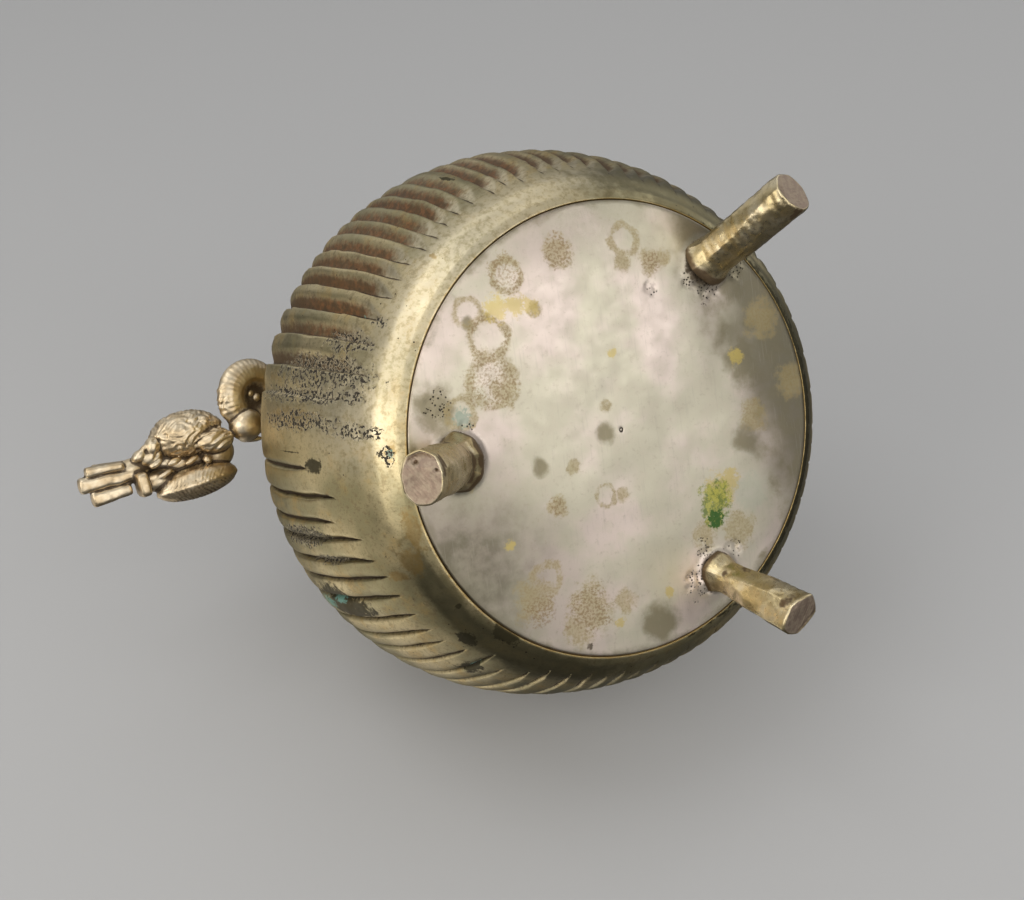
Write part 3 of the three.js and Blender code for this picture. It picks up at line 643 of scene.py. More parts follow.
# Stains on the plate: x, y and radius in mm for each kind, the pitted ones round the roots of the legs
PLATE_SPOTS = {
        "stain": [(-11.2, -45.7, 3.9), (-30.5, -14.8, 3.5), (-19.6, -32.8, 1.8), (14.6, -40.1, 3.2),
        (18.2, -40.7, 2.1), (6.5, -41.1, 2.4), (-3.4, -6.8, 1.7), (-14.6, 6.8, 1.7), (-20.4, 15.4, 2.5),
        (-1.8, 15.8, 1.8), (-42.7, 6.9, 1), (-29.7, 37.1, 5.3), (-15.1, 42.9, 6.2), (-18.5, 47, 4.3),
        (-4.9, 42.6, 3), (52.9, -4.2, 4.6), (31.8, 31.5, 4.7), (46, -22, 5), (40, 3, 4), (21, 31, 3.5)],
        "speckle": [(-11.2, -45.7, 4), (-25.4, -41.7, 4.9), (-33.7, -17.4, 6.8), (14.6, -40.1, 2.6),
        (-20.4, 15.4, 2.2), (-28.5, 40.1, 4.4), (-15.1, 42.9, 6)],
        "yellow": [(-29.5, -34.6, 3.4), (-24.5, -34.4, 3), (-20.5, -33.6, 2.4), (-0.1, -19.6, 1.4),
        (-34.6, 22.3, 1.6), (-7.1, 47.8, 1.6), (26.5, 20.5, 4.8), (36.5, -13, 2.4), (8.4, 43.5, 1.5),
        (30, 18, 3)],
        "olive": [(-37.5, -32, 1.6), (-47.9, -10.6, 4.4), (-49, -14.5, 4.8), (-4.7, 0, 2.6),
        (-23.5, 5.1, 2.4), (37.3, 8.4, 4.4), (37.9, -11.8, 5.6), (4.4, 50.5, 5.2), (38.4, -30.5, 4.6)],
        "verdigris": [(-42.2, -10.1, 2.6)],
        "green": [(25.3, 22.5, 5), (24.6, 26.5, 3.8)],
        "deep_green": [(24.2, 27.4, 2.6)],
        "pale": [(36.8, 23.2, 5)],
        "dark": [(-16.3, 52.1, 0.9)],
        "pitted": [(29.9, -32.1, 4.2), (39.1, -35.5, 3.2), (24.8, -34.8, 2.2), (17.7, 42.9, 4.6),
        (28.9, 36.3, 2.4), (-41.8, -7.6, 1.9), (20.5, 39.5, 3), (13.5, -33.5, 1.8), (-48, -14, 3.4),
        (20, 34, 2.2)],
}
# The same for stains that are rings
PLATE_RINGS = {
        "stain": [(-25.4, -41.7, 4.6), (-32.6, -27.8, 5.8), (-33.7, -17.4, 7.2), (-37.1, -34.6, 4.3),
        (-42.4, -11.2, 4.6), (7.8, -46.5, 4.6), (-6.7, 15.3, 3.2), (-25.8, 32.9, 5), (-46.5, 0.5, 5.5)],
        "speckle": [(-32.6, -27.8, 5.6)],
}
PLATE_MARKS = ("shade", "stain", "speckle", "yellow", "green", "deep_green", "pale", "olive", "verdigris",
               "dark", "pitted")
PLATE_BULGE = 1.0
DENTS = [(-9.1, -26.3, 4.0, 0.12), (-2.0, -10.4, 3.2, 0.12), (-16.6, -40.8, 6.5, -0.22), (2, 12, 6, 0.14),
         (-12, 24, 9, 0.12), (20, 2, 12, 0.16), (-30, 6, 7, 0.14)]
PLATE_COLUMNS = 400
PLATE_ROWS = 104
EDGE_TURNS = np.radians([30, 60, 90])  # where the round of the plate's edge has its rings
EDGE_ROUND = 0.5


def past_roots(points):
    """How far outside the root of each leg points are, in plan."""
    for leg in LEGS.values():
        x, y = leg["root_at"]
        yield np.hypot(points[:, 0] - x, points[:, 1] - y) - leg["root"][0]


def plate_marks(points):
    marks = {name: np.zeros(len(points)) for name in PLATE_MARKS}
    wobble = 1 + 0.14 * lumps(points, 3.6, 21) + 0.06 * lumps(points, 1.6, 22)

    def add(kind, mark):
        marks[kind] = np.maximum(marks[kind], mark)

    for table, ring in ((PLATE_SPOTS, False), (PLATE_RINGS, True)):
        for kind, spots in table.items():
            for x, y, radius in spots:
                away = np.hypot(points[:, 0] - x, points[:, 1] - y) / radius * wobble
                round_edge = np.clip(1.15 - np.abs(away - 0.8) / 0.28, 0, 0.8)
                add(kind, round_edge if ring else np.clip(1.5 - away, 0, 1))
    # Painted shade over the far side of the plate, away from the light, in olive here and in the shade mark
    far = smooth_step(points[:, 0] - 0.25 * points[:, 1] + 5 * lumps(points, 9, 23), 26, 50)
    add("olive", far * 0.85)
    angle = np.degrees(np.arctan2(points[:, 1], points[:, 0])) % 360
    out = np.hypot(points[:, 0], points[:, 1])
    # Painted shade: a patch low on the left and a band along the top edge
    low_left_shade = np.exp(-(angle_between(angle, 152) / 30) ** 2)
    low_left_shade *= smooth_step(out + 3 * lumps(points, 11, 26), 18, 50)
    top = np.exp(-(angle_between(angle, 262) / 40) ** 2)
    top *= smooth_step(out + 3 * lumps(points, 9, 27), 40, 54)
    marks["shade"] = np.maximum(low_left_shade, np.maximum(0.42 * top, 0.85 * far))
    add("olive", 0.55 * smooth_step(out + lumps(points, 5, 25), PLATE_RADIUS - 3.2, PLATE_RADIUS - 0.4))
    for away in past_roots(points):
        add("dark", 0.72 * (1 - smooth_step(away * wobble, 0.5, 1.8)))
    return marks


def make_plate():
    inner = PLATE_RADIUS - 0.55
    radii = np.concatenate([np.linspace(0.6, inner, PLATE_ROWS), inner + EDGE_ROUND * np.sin(EDGE_TURNS)])
    turn = np.arange(PLATE_COLUMNS) * math.tau / PLATE_COLUMNS
    flat = np.concatenate([circle(r, turn, 0) for r in radii])
    share = np.hypot(flat[:, 0], flat[:, 1]) / PLATE_RADIUS
    marks = plate_marks(flat)
    down = -PLATE_BULGE * (1 - share ** 2.4) * 0.6 + 0.25
    down += 0.13 * lumps(flat, 18, 31) + 0.035 * lumps(flat, 6, 32)
    for x, y, radius, deep in DENTS:
        down += deep * np.exp(-((flat[:, 0] - x) ** 2 + (flat[:, 1] - y) ** 2) / radius ** 2)
    for away in past_roots(flat):
        bead = np.exp(-(np.clip(away, 0, None) / 1.2) ** 2) * (0.75 + 0.25 * lumps(flat, 1.7, 33))
        down -= 1.2 * bead
    pitted = smooth_step(marks["pitted"], 0.35, 0.8)
    pits = 0.32 * np.clip(lumps(flat, 1.25, 34), 0, 1) + 0.15 * np.clip(lumps(flat, 2.4, 35), 0, 1)
    down += pitted * pits
    edge = np.concatenate([np.zeros(PLATE_ROWS), EDGE_ROUND * (1 - np.cos(EDGE_TURNS))])
    flat[:, 2] = down + np.repeat(edge, PLATE_COLUMNS)
    centre = np.array([[0, 0, float(np.mean(down[:PLATE_COLUMNS]))]])
    side = [circle(PLATE_RADIUS, turn, z) for z in (1.1, PLATE_THICKNESS - 0.2)]
    back = [circle(r, turn, PLATE_THICKNESS) for r in (PLATE_RADIUS - 0.2, 40, 20, 1)]
    extra = (len(side) + len(back)) * PLATE_COLUMNS
    joined = {name: np.concatenate([values[:1], values, np.zeros(extra)]) for name, values in marks.items()}
    # Painted shade on the plate's edge and on its back inside the pot
    joined["dark"][-extra:] = 0.5
    count = len(radii) + len(side) + len(back)
    rings = [list(range(1 + i * PLATE_COLUMNS, 1 + (i + 1) * PLATE_COLUMNS)) for i in range(count)]
    faces = [(0, rings[0][(i + 1) % PLATE_COLUMNS], rings[0][i]) for i in range(PLATE_COLUMNS)]
    for a, b in zip(rings, rings[1:]):
        faces += [face[::-1] for face in band(a, b)]
    faces.append(tuple(rings[-1]))
    points = np.concatenate([centre, flat, *side, *back])
    make_piece("silvered_plate", points, faces, plate_material(), "base_plate", joined)


# The legs

# Where each root stands, the way its leg leans and how far; half width and depth at both ends; its soft
# facets; how its cut end is bevelled: a share across, a slope, and the way the bevel faces in degrees
LEGS = {
    "leg_below_bird": dict(root_at=(-45.0, 0.0), lean=184.5, splay=38, root=(5.9, 5.3), foot=(6.3, 5.2),
                           sides=9, corners=0.5, turn=0.35, bevel=(0.36, 0.45, 0), seed=41,
                           holes=((3.6, 1.4, 0.55), (1.6, -3.3, 0.35))),
    "leg_right": dict(root_at=(30.84, -38.08), lean=306.5, splay=35, root=(5.5, 5.2), foot=(5.8, 5.5),
                      sides=7, corners=0.36, turn=0.2, bevel=(0.55, 0.25, 200), holes=(), seed=42),
    "leg_left": dict(root_at=(23.39, 41.34), lean=60, splay=20.5, root=(4.2, 4.5), foot=(6.1, 4.8), sides=5,
                     corners=0.42, turn=0.5, bevel=(0.5, 0.3, 100), holes=(), seed=43),
}
FILE_MARK = 0.8
LEG_SHADE = np.array([-0.18, 0.98, -0.05])  # the side of each leg that is darkened with painted shade
FOOT_WEAR = 0.5
LEG_COLUMNS = 140
LEG_ROWS = 90
CUT_ROWS = 28


def leg_section(turn, sides, corners):
    """Relative radius of a soft-cornered polygon at each angle."""
    sector = math.tau / sides
    away = (turn + sector / 2) % sector - sector / 2
    return (1 / np.cos(away)) ** corners * math.cos(sector / 2) ** (corners * 0.5)


def make_leg(name, root_at, lean, splay, root, foot, sides, corners, turn, bevel, holes, seed, material):
    lean, splay = math.radians(lean), math.radians(splay)
    leanwards = np.array([math.cos(lean), math.sin(lean), 0])
    axis = leanwards * math.sin(splay) - np.array([0, 0, math.cos(splay)])
    across = np.array([-leanwards[1], leanwards[0], 0])
    other = np.cross(axis, across)
    start = np.array([*root_at, 0])
    reach = (LEG_HEIGHT - foot[1] * math.sin(splay) + FOOT_WEAR) / math.cos(splay)
    around = np.arange(LEG_COLUMNS) * math.tau / LEG_COLUMNS
    rings, hollow, cut = [], [], []
    for along in np.linspace(-0.02, 1, LEG_ROWS):
        part = np.clip(along, 0, 1)
        wide = root[0] + (foot[0] - root[0]) * part
        deep = root[1] + (foot[1] - root[1]) * part
        section = leg_section(around + turn + 0.3 * math.sin(3 * part + seed), sides, corners)
        flare = 1 + 0.24 * math.exp(-(part * reach / 2.4) ** 2)
        middle = start + axis * reach * along
        ring = middle + np.outer(wide * section * flare * np.cos(around), across)
        ring += np.outer(deep * section * flare * np.sin(around), other)
        dent = 0.36 * lumps(ring, 6.5, seed) + 0.16 * lumps(ring, 2.3, seed + 10)
        dent += 0.05 * lumps(ring, 0.8, seed + 20)
        ridge = 0.045 * np.cos(part * reach * 2.4 + 1.5 * lumps(ring, 4, seed + 21))
        ridge *= smooth_step(np.sin(around + seed), 0.1, 0.7)
        outwards = (ring - middle) / np.linalg.norm(ring - middle, axis=1, keepdims=True)
        soften = 0.3 * smooth_step(along, 0.985, 1.0)
        rings.append(ring + outwards * (dent + ridge - 0.12 - soften)[:, None])
        # Painted shade down the side of each leg that faces LEG_SHADE
        shaded = 0.45 * smooth_step(outwards @ LEG_SHADE, 0.15, 0.75)
        sunk = shaded + smooth_step(-dent - ridge, 0.10, 0.46) + 0.8 * math.exp(-(part * reach / 1.5) ** 2)
        hollow.append(np.clip(sunk, 0, 1))
        cut.append(np.zeros(LEG_COLUMNS))
    tip = start + axis * reach
    last = rings[-1] - tip
    at, slope, way = bevel
    facing = across * math.cos(math.radians(way)) + other * math.sin(math.radians(way))
    slant = across * math.cos(0.9) - other * math.sin(0.9)
    cross = across * math.sin(0.4) - other * math.cos(0.4)
    for share in np.linspace(0.95, 0.05, CUT_ROWS):
        flat = last * share
        bend = 2.6 * lumps(flat + tip, 4.5, seed + 30)
        marks = np.sin(flat @ slant / FILE_MARK * math.tau + bend)
        marks *= 0.5 + 0.5 * lumps(flat + tip, 2.6, seed + 33)
        crossing = 0.5 * np.sin(flat @ cross / (FILE_MARK * 1.7) * math.tau - bend)
        marks += crossing * np.clip(lumps(flat + tip, 3.4, seed + 34), 0, 1)
        lift = 0.045 * marks + 0.15 * lumps(flat + tip, 3, seed + 31)
        lift -= slope * np.clip(flat @ facing - at * foot[0], 0, None)
        sunk = 0.26 * smooth_step(-marks - 0.25 + 0.6 * lumps(flat + tip, 1.6, seed + 32), 0.35, 1.0)
        for x, y, radius in holes:
            hole = np.exp(-((flat @ across - x) ** 2 + (flat @ other - y) ** 2) / radius ** 2)
            lift -= 0.5 * hole
            sunk = np.maximum(sunk, hole)
        rings.append(tip + flat + np.outer(lift, axis))
        hollow.append(sunk)
        cut.append(np.ones(LEG_COLUMNS))
    points = np.concatenate([*rings, [rings[-1].mean(axis=0)], [rings[0].mean(axis=0)]])
    points[:, 2] = np.maximum(points[:, 2], -LEG_HEIGHT)
    faces = tube(len(rings), LEG_COLUMNS, len(points) - 1, len(points) - 2)
    marks = {"hollow": np.concatenate([*hollow, [0, 0]]), "cut": np.concatenate([*cut, [1, 0]])}
    make_piece("peg_" + name, points, faces, material, name, marks)


make_body()
make_plate()
leg_metal = leg_material()
for leg_name, facts in LEGS.items():
    make_leg(leg_name, material=leg_metal, **facts)


# The bird, its perch and its arm, in a layout of their own: millimetres from the pot's axis, x outward
# along the handle, y to its right, z up from the handle's height. It is turned round the axis to its side.
HANDLE_HEIGHT = 92
RIB_COLUMNS = 8  # columns of the mesh for each rib of the rosette
VOXEL = 0.3
NEAR_ROUNDS = 10
WIDE_ROUNDS = 60

# The bird's solid lumps: centre, half sizes, and turn about z and x in degrees
BIRD_LUMPS = [
    ((86.5, 3.8, 2.4), (13.0, 5.4, 4.2), -6, 12),
    ((78.2, 3.4, 0.8), (5.2, 5.0, 4.8), 0, 0),
    ((97.4, 5.4, -1.0), (3.9, 2.9, 3.2), -20, 0),
    ((100.2, 6.2, -2.3), (2.3, 1.6, 1.9), -25, 0),
    ((96.4, 8.2, -2.4), (2.0, 2.5, 2.4), 10, 0),
    ((95.5, -1.4, -0.6), (5.2, 3.0, 3.4), -10, 0),
    ((102.5, 2.4, -0.4), (5.2, 3.4, 2.8), -12, 0),
]
BEADS = [((81.4, 13.1, -4.2), 1.35), ((82.2, 2.2, -4.6), 1.3), ((79.0, -2.0, -4.6), 1.2)]
# Small feather tips along the channel under the bird
TIPS = [((96.2, 3.3, -3.2), (2.1, 0.95, 1.1), -25), ((94.3, 0.2, -3.4), (2.7, 0.85, 1.1), -20),
        ((91.2, 3.1, -3.6), (2.2, 0.9, 1.0), -15), ((86.4, 2.7, -4.1), (2.3, 0.8, 1.0), -25),
        ((98.9, 8.1, -2.9), (1.5, 0.7, 1.0), -40), ((90.6, -0.9, -3.6), (2.2, 0.7, 0.9), -15)]
# Tail feathers: outer end, inner end, half widths there, half height
TAIL = [((115.4, 4.2, -1.6), (104.6, 4.4, -1.4), (1.4, 1.2), 1.9),
        ((117.6, 0.7, -1.2), (101.6, 1.5, -1.2), (2.35, 1.3), 2.1),
        ((114.6, -3.6, -0.9), (103.2, -2.1, -0.9), (2.15, 1.7), 2.1),
        ((113.0, 4.6, 1.0), (103.0, 4.2, 1.0), (1.2, 1.2), 1.1)]
WING_RIGHT = ((85.9, 9.7, 0.4), (10.2, 6.4, 6.3), -4, 8)
WING_LEFT = ((85.4, -3.7, -2.0), (11.6, 4.5, 5.4), -8, 8)
BARB_SPACING = 1.05
BARB_HEIGHT = 0.3
LOCK = ((79.5, 7.3, -3.8), (5.7, 3.5, 3.0), 3, 0)
LOCK_RIDGES = 4
STUB = ((100.6, -1.5, -2.6), (1.9, 3.2, 3.8))
ROSETTE_CENTRE = (66, 17.3, 0)
ROSETTE_TILT = 19
ROSETTE_RADIUS = 10.8
ROSETTE_THICKNESS = 5.4
ROSETTE_HOLLOW = 3.4
ROSETTE_RIBS = 38
RIB_DEPTH = 0.22
BALL = ((69.3, 9.8, -2.25), 4.8)
ARM_END = (71, 11.5, 1.5)
ARM_SIZE = (5, 6.5)
ARM_HEIGHT_SHARE = 0.55
ARM_ROOT = 44
ARM_COLUMNS, ARM_ROWS = 40, 24
BAR_COLUMNS, BAR_ROWS = 28, 44
SMALL_BALL = (24, 16)  # columns and rows of the least lumps
ROOTED = 1.4


def turned(points, about_z, about_x=0):
    spin = Matrix.Rotation(math.radians(about_z), 3, "Z") @ Matrix.Rotation(math.radians(about_x), 3, "X")
    return points @ np.array(spin).T


def ball_shape(centre, half, about_z=0, about_x=0, relief=None, columns=48, rows=32, square=1.0):
    """An ellipsoid as points and faces. relief gives the lift off its surface for unit directions."""
    theta = np.linspace(0, math.pi, rows + 1)[1:-1]
    phi = np.arange(columns) * math.tau / columns
    t, p = np.meshgrid(theta, phi, indexing="ij")
    unit = np.stack([np.cos(t), np.sin(t) * np.cos(p), np.sin(t) * np.sin(p)], axis=-1).reshape(-1, 3)
    unit = np.concatenate([unit, [[1, 0, 0], [-1, 0, 0]]])
    shaped = np.sign(unit) * np.abs(unit) ** square
    lift = relief(unit) if relief else np.zeros(len(unit))
    points = turned(shaped * np.array(half) + unit * lift[:, None], about_z, about_x) + np.array(centre)
    near = (rows - 1) * columns
    return points, tube(rows - 1, columns, near, near + 1)


def feathers(half, rib_at, lean, sign):
    """Relief of a wing: barbs that part from a shaft along it."""
    def relief(unit):
        along = unit[:, 0] * half[0]
        across = unit[:, 1] * half[1] - rib_at
        around = np.arctan2(unit[:, 1], -unit[:, 2]) * half[1] - rib_at
        phase = (along * sign + lean * np.abs(around) - 0.035 * around ** 2) / BARB_SPACING
        phase += 0.8 * lumps(unit * np.array(half), 5, 51) + 0.2 * lumps(unit * np.array(half), 1.8, 52)
        wave = 0.5 + 0.5 * np.cos(phase * math.tau)
        shaft = np.exp(-(across / 0.5) ** 2)
        return BARB_HEIGHT * (wave ** 0.7 - 0.5) + 0.22 * shaft
    return relief


def lengthwise(count, deep, wave=0.0):
    def relief(unit):
        around = np.arctan2(unit[:, 2], unit[:, 1])
        return deep * (np.abs(np.cos(around * count + wave * unit[:, 0])) - 0.5)
    return relief


def bar_shape(outer, inner, widths, height, seed):
    """A long round-cornered bar between two points, its sides a little uneven."""
    outer, inner = np.array(outer), np.array(inner)
    axis = (inner - outer) / np.linalg.norm(inner - outer)
    side = np.cross([0, 0, 1], axis)
    side /= np.linalg.norm(side)
    up = np.cross(axis, side)
    phi = np.arange(BAR_COLUMNS) * math.tau / BAR_COLUMNS
    section = [np.sign(wave) * np.abs(wave) ** 0.6 for wave in (np.cos(phi), np.sin(phi))]
    points = []
    for share in np.linspace(0, 1, BAR_ROWS):
        ends = (1 - (1 - min(share / 0.09, 1)) ** 2.4) ** (1 / 2.4)
        ends *= (1 - (1 - min((1 - share) / 0.07, 1)) ** 2.2) ** (1 / 2.2)
        ends = max(ends, 0.04)
        middle = outer + (inner - outer) * share
        wide = (widths[0] + (widths[1] - widths[0]) * share) * ends
        ring = middle + np.outer(section[0] * wide, side) + np.outer(section[1] * height * ends, up)
        points.append(ring + 0.16 * lumps(ring, 2.6, seed)[:, None] * (ring - middle) / max(wide, 0.5))
    points = np.concatenate([*points, [outer], [inner]])
    return points, [face[::-1] for face in tube(BAR_ROWS, BAR_COLUMNS, len(points) - 2, len(points) - 1)]


def rosette_place(points):
    """Points laid out round the rosette's own axis, tilted and moved to its place."""
    tilt = np.array(Matrix.Rotation(math.radians(ROSETTE_TILT), 3, "Y"))
    return points @ tilt.T + np.array(ROSETTE_CENTRE)


def rosette_shape():
    """A round dome of fine radial ribs, hollow round a boss, its face down."""
    columns = ROSETTE_RIBS * RIB_COLUMNS
    shares = [(0.7, -0.38, 0), (1, -0.46, 0), (1.3, -0.56, 0.2)]
    profile = [(0.3, -0.38, 0)] + [(ROSETTE_HOLLOW * share, *rest) for share, *rest in shares]
    shares = [(0.48, -0.63, 0.8), (0.6, -0.62, 1), (0.74, -0.55, 1), (0.85, -0.43, 1), (0.93, -0.28, 1),
              (0.985, -0.12, 0.9), (1, 0.03, 0.6), (0.97, 0.18, 0.2), (0.88, 0.33, 0)]
    profile += [(ROSETTE_RADIUS * share, *rest) for share, *rest in shares] + [(0.3, 0.38, 0)]
    phi = np.arange(columns) * math.tau / columns
    points = []
    for radius, height, ribbed in profile:
        sunk = RIB_DEPTH * ribbed * (1 - np.abs(np.cos(phi * ROSETTE_RIBS / 2)) ** 0.8)
        points.append(circle(radius - sunk * 0.7, phi, ROSETTE_THICKNESS * height + sunk * 0.7))
    points = np.concatenate([*points, [[0, 0, ROSETTE_THICKNESS * height] for height in (-0.16, 0.38)]])
    faces = tube(len(profile), columns, len(points) - 2, len(points) - 1)
    return rosette_place(points), faces


def arm_shape():
    """A tapering oval arm from the bird to the pot."""
    phi = np.arange(ARM_COLUMNS) * math.tau / ARM_COLUMNS
    rings = []
    for x in np.linspace(ARM_END[0], ARM_ROOT, ARM_ROWS):
        wide = np.interp(x, (41, ARM_END[0]), ARM_SIZE[::-1])
        rings.append(np.column_stack([np.full(ARM_COLUMNS, x), ARM_END[1] + wide * np.cos(phi),
                                      ARM_END[2] + wide * ARM_HEIGHT_SHARE * np.sin(phi)]))
    points = np.concatenate([*rings, [rings[0].mean(0)], [rings[-1].mean(0)]])
    return points, tube(ARM_ROWS, ARM_COLUMNS, len(points) - 2, len(points) - 1)


def blurred(points, edges, rounds):
    """Points averaged with the ones that they share an edge with, some times over."""
    count = np.bincount(edges.ravel(), minlength=len(points))[:, None]
    for _ in range(rounds):
        total = np.zeros_like(points)
        for axis in range(points.shape[1]):
            total[:, axis] = np.bincount(edges[:, 0], points[edges[:, 1], axis], len(points)) + np.bincount(
                edges[:, 1], points[edges[:, 0], axis], len(points))
        points = (points + total) / (count + 1)
    return points


def fused(shapes, voxel):
    """One skin round all the shapes: points in mm, faces, edges and normals."""
    mesh = bpy.data.meshes.new("fusing")
    points, faces = [], []
    for shape_points, shape_faces in shapes:
        first = sum(len(p) for p in points)
        points.append(shape_points)
        faces += [tuple(first + i for i in face) for face in shape_faces]
    mesh.from_pydata(np.concatenate(points).tolist(), [], faces)
    holder = bpy.data.objects.new("fusing", mesh)
    bpy.context.scene.collection.objects.link(holder)
    remesh = holder.modifiers.new("fuse", "REMESH")
    remesh.mode = "VOXEL"
    remesh.voxel_size = voxel
    skin = bpy.data.meshes.new_from_object(holder.evaluated_get(bpy.context.evaluated_depsgraph_get()))
    co = np.zeros(len(skin.vertices) * 3)
    skin.vertices.foreach_get("co", co)
    edges = np.zeros(len(skin.edges) * 2, int)
    skin.edges.foreach_get("vertices", edges)
    normals = np.zeros(len(skin.vertices) * 3)
    skin.vertex_normals.foreach_get("vector", normals)
    faces = [tuple(face.vertices) for face in skin.polygons]
    bpy.data.objects.remove(holder)
    bpy.data.meshes.remove(mesh)
    bpy.data.meshes.remove(skin)
    return co.reshape(-1, 3), faces, edges.reshape(-1, 2), normals.reshape(-1, 3)


def make_handle():
    shapes = [ball_shape(centre, half, z, x) for centre, half, z, x in BIRD_LUMPS]
    shapes.append(ball_shape(*WING_RIGHT, feathers(WING_RIGHT[1], 1.2, 0.75, 1), 220, 140))
    shapes.append(ball_shape(*WING_LEFT, feathers(WING_LEFT[1], -0.6, 0.75, 1), 200, 130))
    shapes.append(ball_shape(*LOCK, lengthwise(LOCK_RIDGES, 0.34, 0.8), 160, 80))
    shapes += [ball_shape(centre, (r, r * 0.85, r), 20, 0, lengthwise(1.5, 0.2), *SMALL_BALL)
               for centre, r in BEADS]
    shapes += [ball_shape(centre, half, z, 0, None, *SMALL_BALL) for centre, half, z in TIPS]
    shapes += [bar_shape(*bar, 60 + i) for i, bar in enumerate(TAIL)]
    shapes.append(ball_shape(*STUB, -8, 0, lambda unit: 0.28 * np.cos(unit[:, 0] * 3.0), 64, 48, 0.42))
    shapes.append(rosette_shape())
    for x, y, r in ((-0.6, -0.5, 1.2), (1.2, 0.9, 0.9)):
        centre = rosette_place(np.array([x, y, -0.3 * ROSETTE_THICKNESS]))
        shapes.append(ball_shape(centre, (r, r, r), 0, 0, None, *SMALL_BALL))
    shapes.append(ball_shape(BALL[0], (BALL[1],) * 3, 0, 0, None, 64, 48))
    shapes.append(ball_shape((68, 5.3, -1.0), (3.5, 0.9, 1.2), 5, 0, None, 32, 20))
    shapes.append(arm_shape())
    points, faces, edges, normals = fused(shapes, VOXEL)
    points = blurred(points, edges, 1)
    near = blurred(points, edges, NEAR_ROUNDS)
    wide = blurred(near, edges, WIDE_ROUNDS)
    spin = turned(points, 38)
    curl = lumps(spin * [0.24, 0.95, 0.6] + 2.2 * lumps(points, 6, 74)[:, None], 1, 73)
    locks = (1 - 2.2 * np.abs(curl)) * smooth_step(points[:, 1], 3.0, 5.5) * smooth_step(points[:, 0], 73, 76)
    locks *= 1 - smooth_step(points[:, 0], 95, 98)
    # Painted shade: darker where the skin sinks below its smoothed self, in creases and hollows, lighter on
    # the locks' ridges
    hollow = -0.30 * locks + 1.9 * np.sum((near - points) * normals, axis=1) / 0.3
    hollow += 0.9 * np.sum((wide - points) * normals, axis=1)
    relief = 0.34 * locks + 0.10 * lumps(points, 2.8, 71) + 0.05 * lumps(points, 1.0, 72)
    points = points + normals * relief[:, None]
    layout_x, layout_y = points[:, 0].copy(), points[:, 1].copy()
    points = points * [-1, -1, 1] + [0, 0, HANDLE_HEIGHT]
    reach = np.hypot(points[:, 0], points[:, 1])
    least = outer_radius(points[:, 2]) - ROOTED
    push = np.maximum(least / reach, 1)
    points[:, :2] *= push[:, None]
    # Painted shadow over the wing underneath
    under = smooth_step(-layout_y, 1.5, 4.5) * smooth_step(layout_x, 72, 75)
    under *= 1 - smooth_step(layout_x, 96, 99)
    shaded = np.clip(0.5 + hollow + 0.55 * under, 0, 1)
    marks = {"hollow": shaded}
    make_piece("bird_and_perch", points, faces, handle_material(), "bird_handle", marks)


make_handle()


# The camera, at the angle of the photograph: from below, the pot lying on its side in the picture
CAMERA_AT = (-184.1, -45.3, -323.6)
CAMERA_RIGHT = Vector((0.8876, 0.135, -0.4403))
CAMERA_UP = Vector((0.1758, -0.983, 0.0532))
CAMERA_BACK = Vector((-0.4256, -0.1246, -0.8963))
LENS = 52.73
SENSOR = 36
NEAREST, FARTHEST = 0.01, 20

lens = bpy.data.cameras.new("camera")
lens.lens = LENS
lens.sensor_width = SENSOR
lens.clip_start, lens.clip_end = NEAREST, FARTHEST
camera = bpy.data.objects.new("camera", lens)
bpy.context.scene.collection.objects.link(camera)
turn = Matrix((CAMERA_RIGHT, CAMERA_UP, CAMERA_BACK)).transposed().to_4x4()
camera.matrix_world = Matrix.Translation(Vector(place(CAMERA_AT))) @ turn
bpy.context.scene.camera = camera


# Stage and light

POT_CENTRE = Vector(place((0, 0, 50)))
FLOOR_GLOW = 0.45  # keeps the floor pale where the lights don't reach it
STAGE_HALF = 8.0  # half the side of the stage's planes, in metres
FLOOR_GREY, CLOTH_GREY = (0.62,) * 3, (0.5,) * 3
SLOPE = Vector((-0.14, -0.83, -0.54)).normalized()  # the way the cloth behind the pot faces
CLOTH_AT = POT_CENTRE - SLOPE * (BELLY_RADIUS + 4) * MM
WARM, WARMER, WARMEST = (1.0, 0.97, 0.93), (1.0, 0.96, 0.90), (1.0, 0.95, 0.87)
WHITE = (1, 1, 1)
# Squares of light aimed at the pot: the way to each from the pot and how far, its sides in metres, its
# brightness for each square metre and its colour
LIGHTS = {
    "front": ((-0.1, 0.0, -1.0), 0.9, (0.85, 0.6), 1.38, WARM),
    "left": ((-1.0, -0.1, -0.35), 0.9, (0.7, 0.6), 1.8, WARMER),
    "between": ((-0.77, -0.06, -0.65), 0.95, (0.35, 0.6), 0.8, (1.0, 0.97, 0.92)),
    "hot": ((0.44, 0.0, -0.90), 0.9, (0.2, 0.2), 4.0, WHITE),
    "upper": ((-0.15, -0.97, -0.08), 0.9, (0.9, 0.35), 0.55, WHITE),
    "upper_left": ((-0.55, -0.75, -0.38), 0.9, (0.4, 0.4), 1.9, WHITE),
    "left_back": ((-0.71, 0.32, 0.67), 1.1, (0.9, 0.9), 0.55, WARMEST),
    "low_back": ((-0.32, 0.70, 0.66), 1.1, (0.7, 0.7), 0.5, WARMEST),
    "right_up": ((0.85, -0.5, -0.15), 0.9, (0.5, 0.5), 0.8, WHITE),
    "right_low": ((0.69, 0.55, -0.48), 0.9, (0.45, 0.45), 0.5, WHITE),
    "above": ((-0.25, -0.65, 0.8), 1.1, (0.7, 0.7), 0.35, WHITE),
}


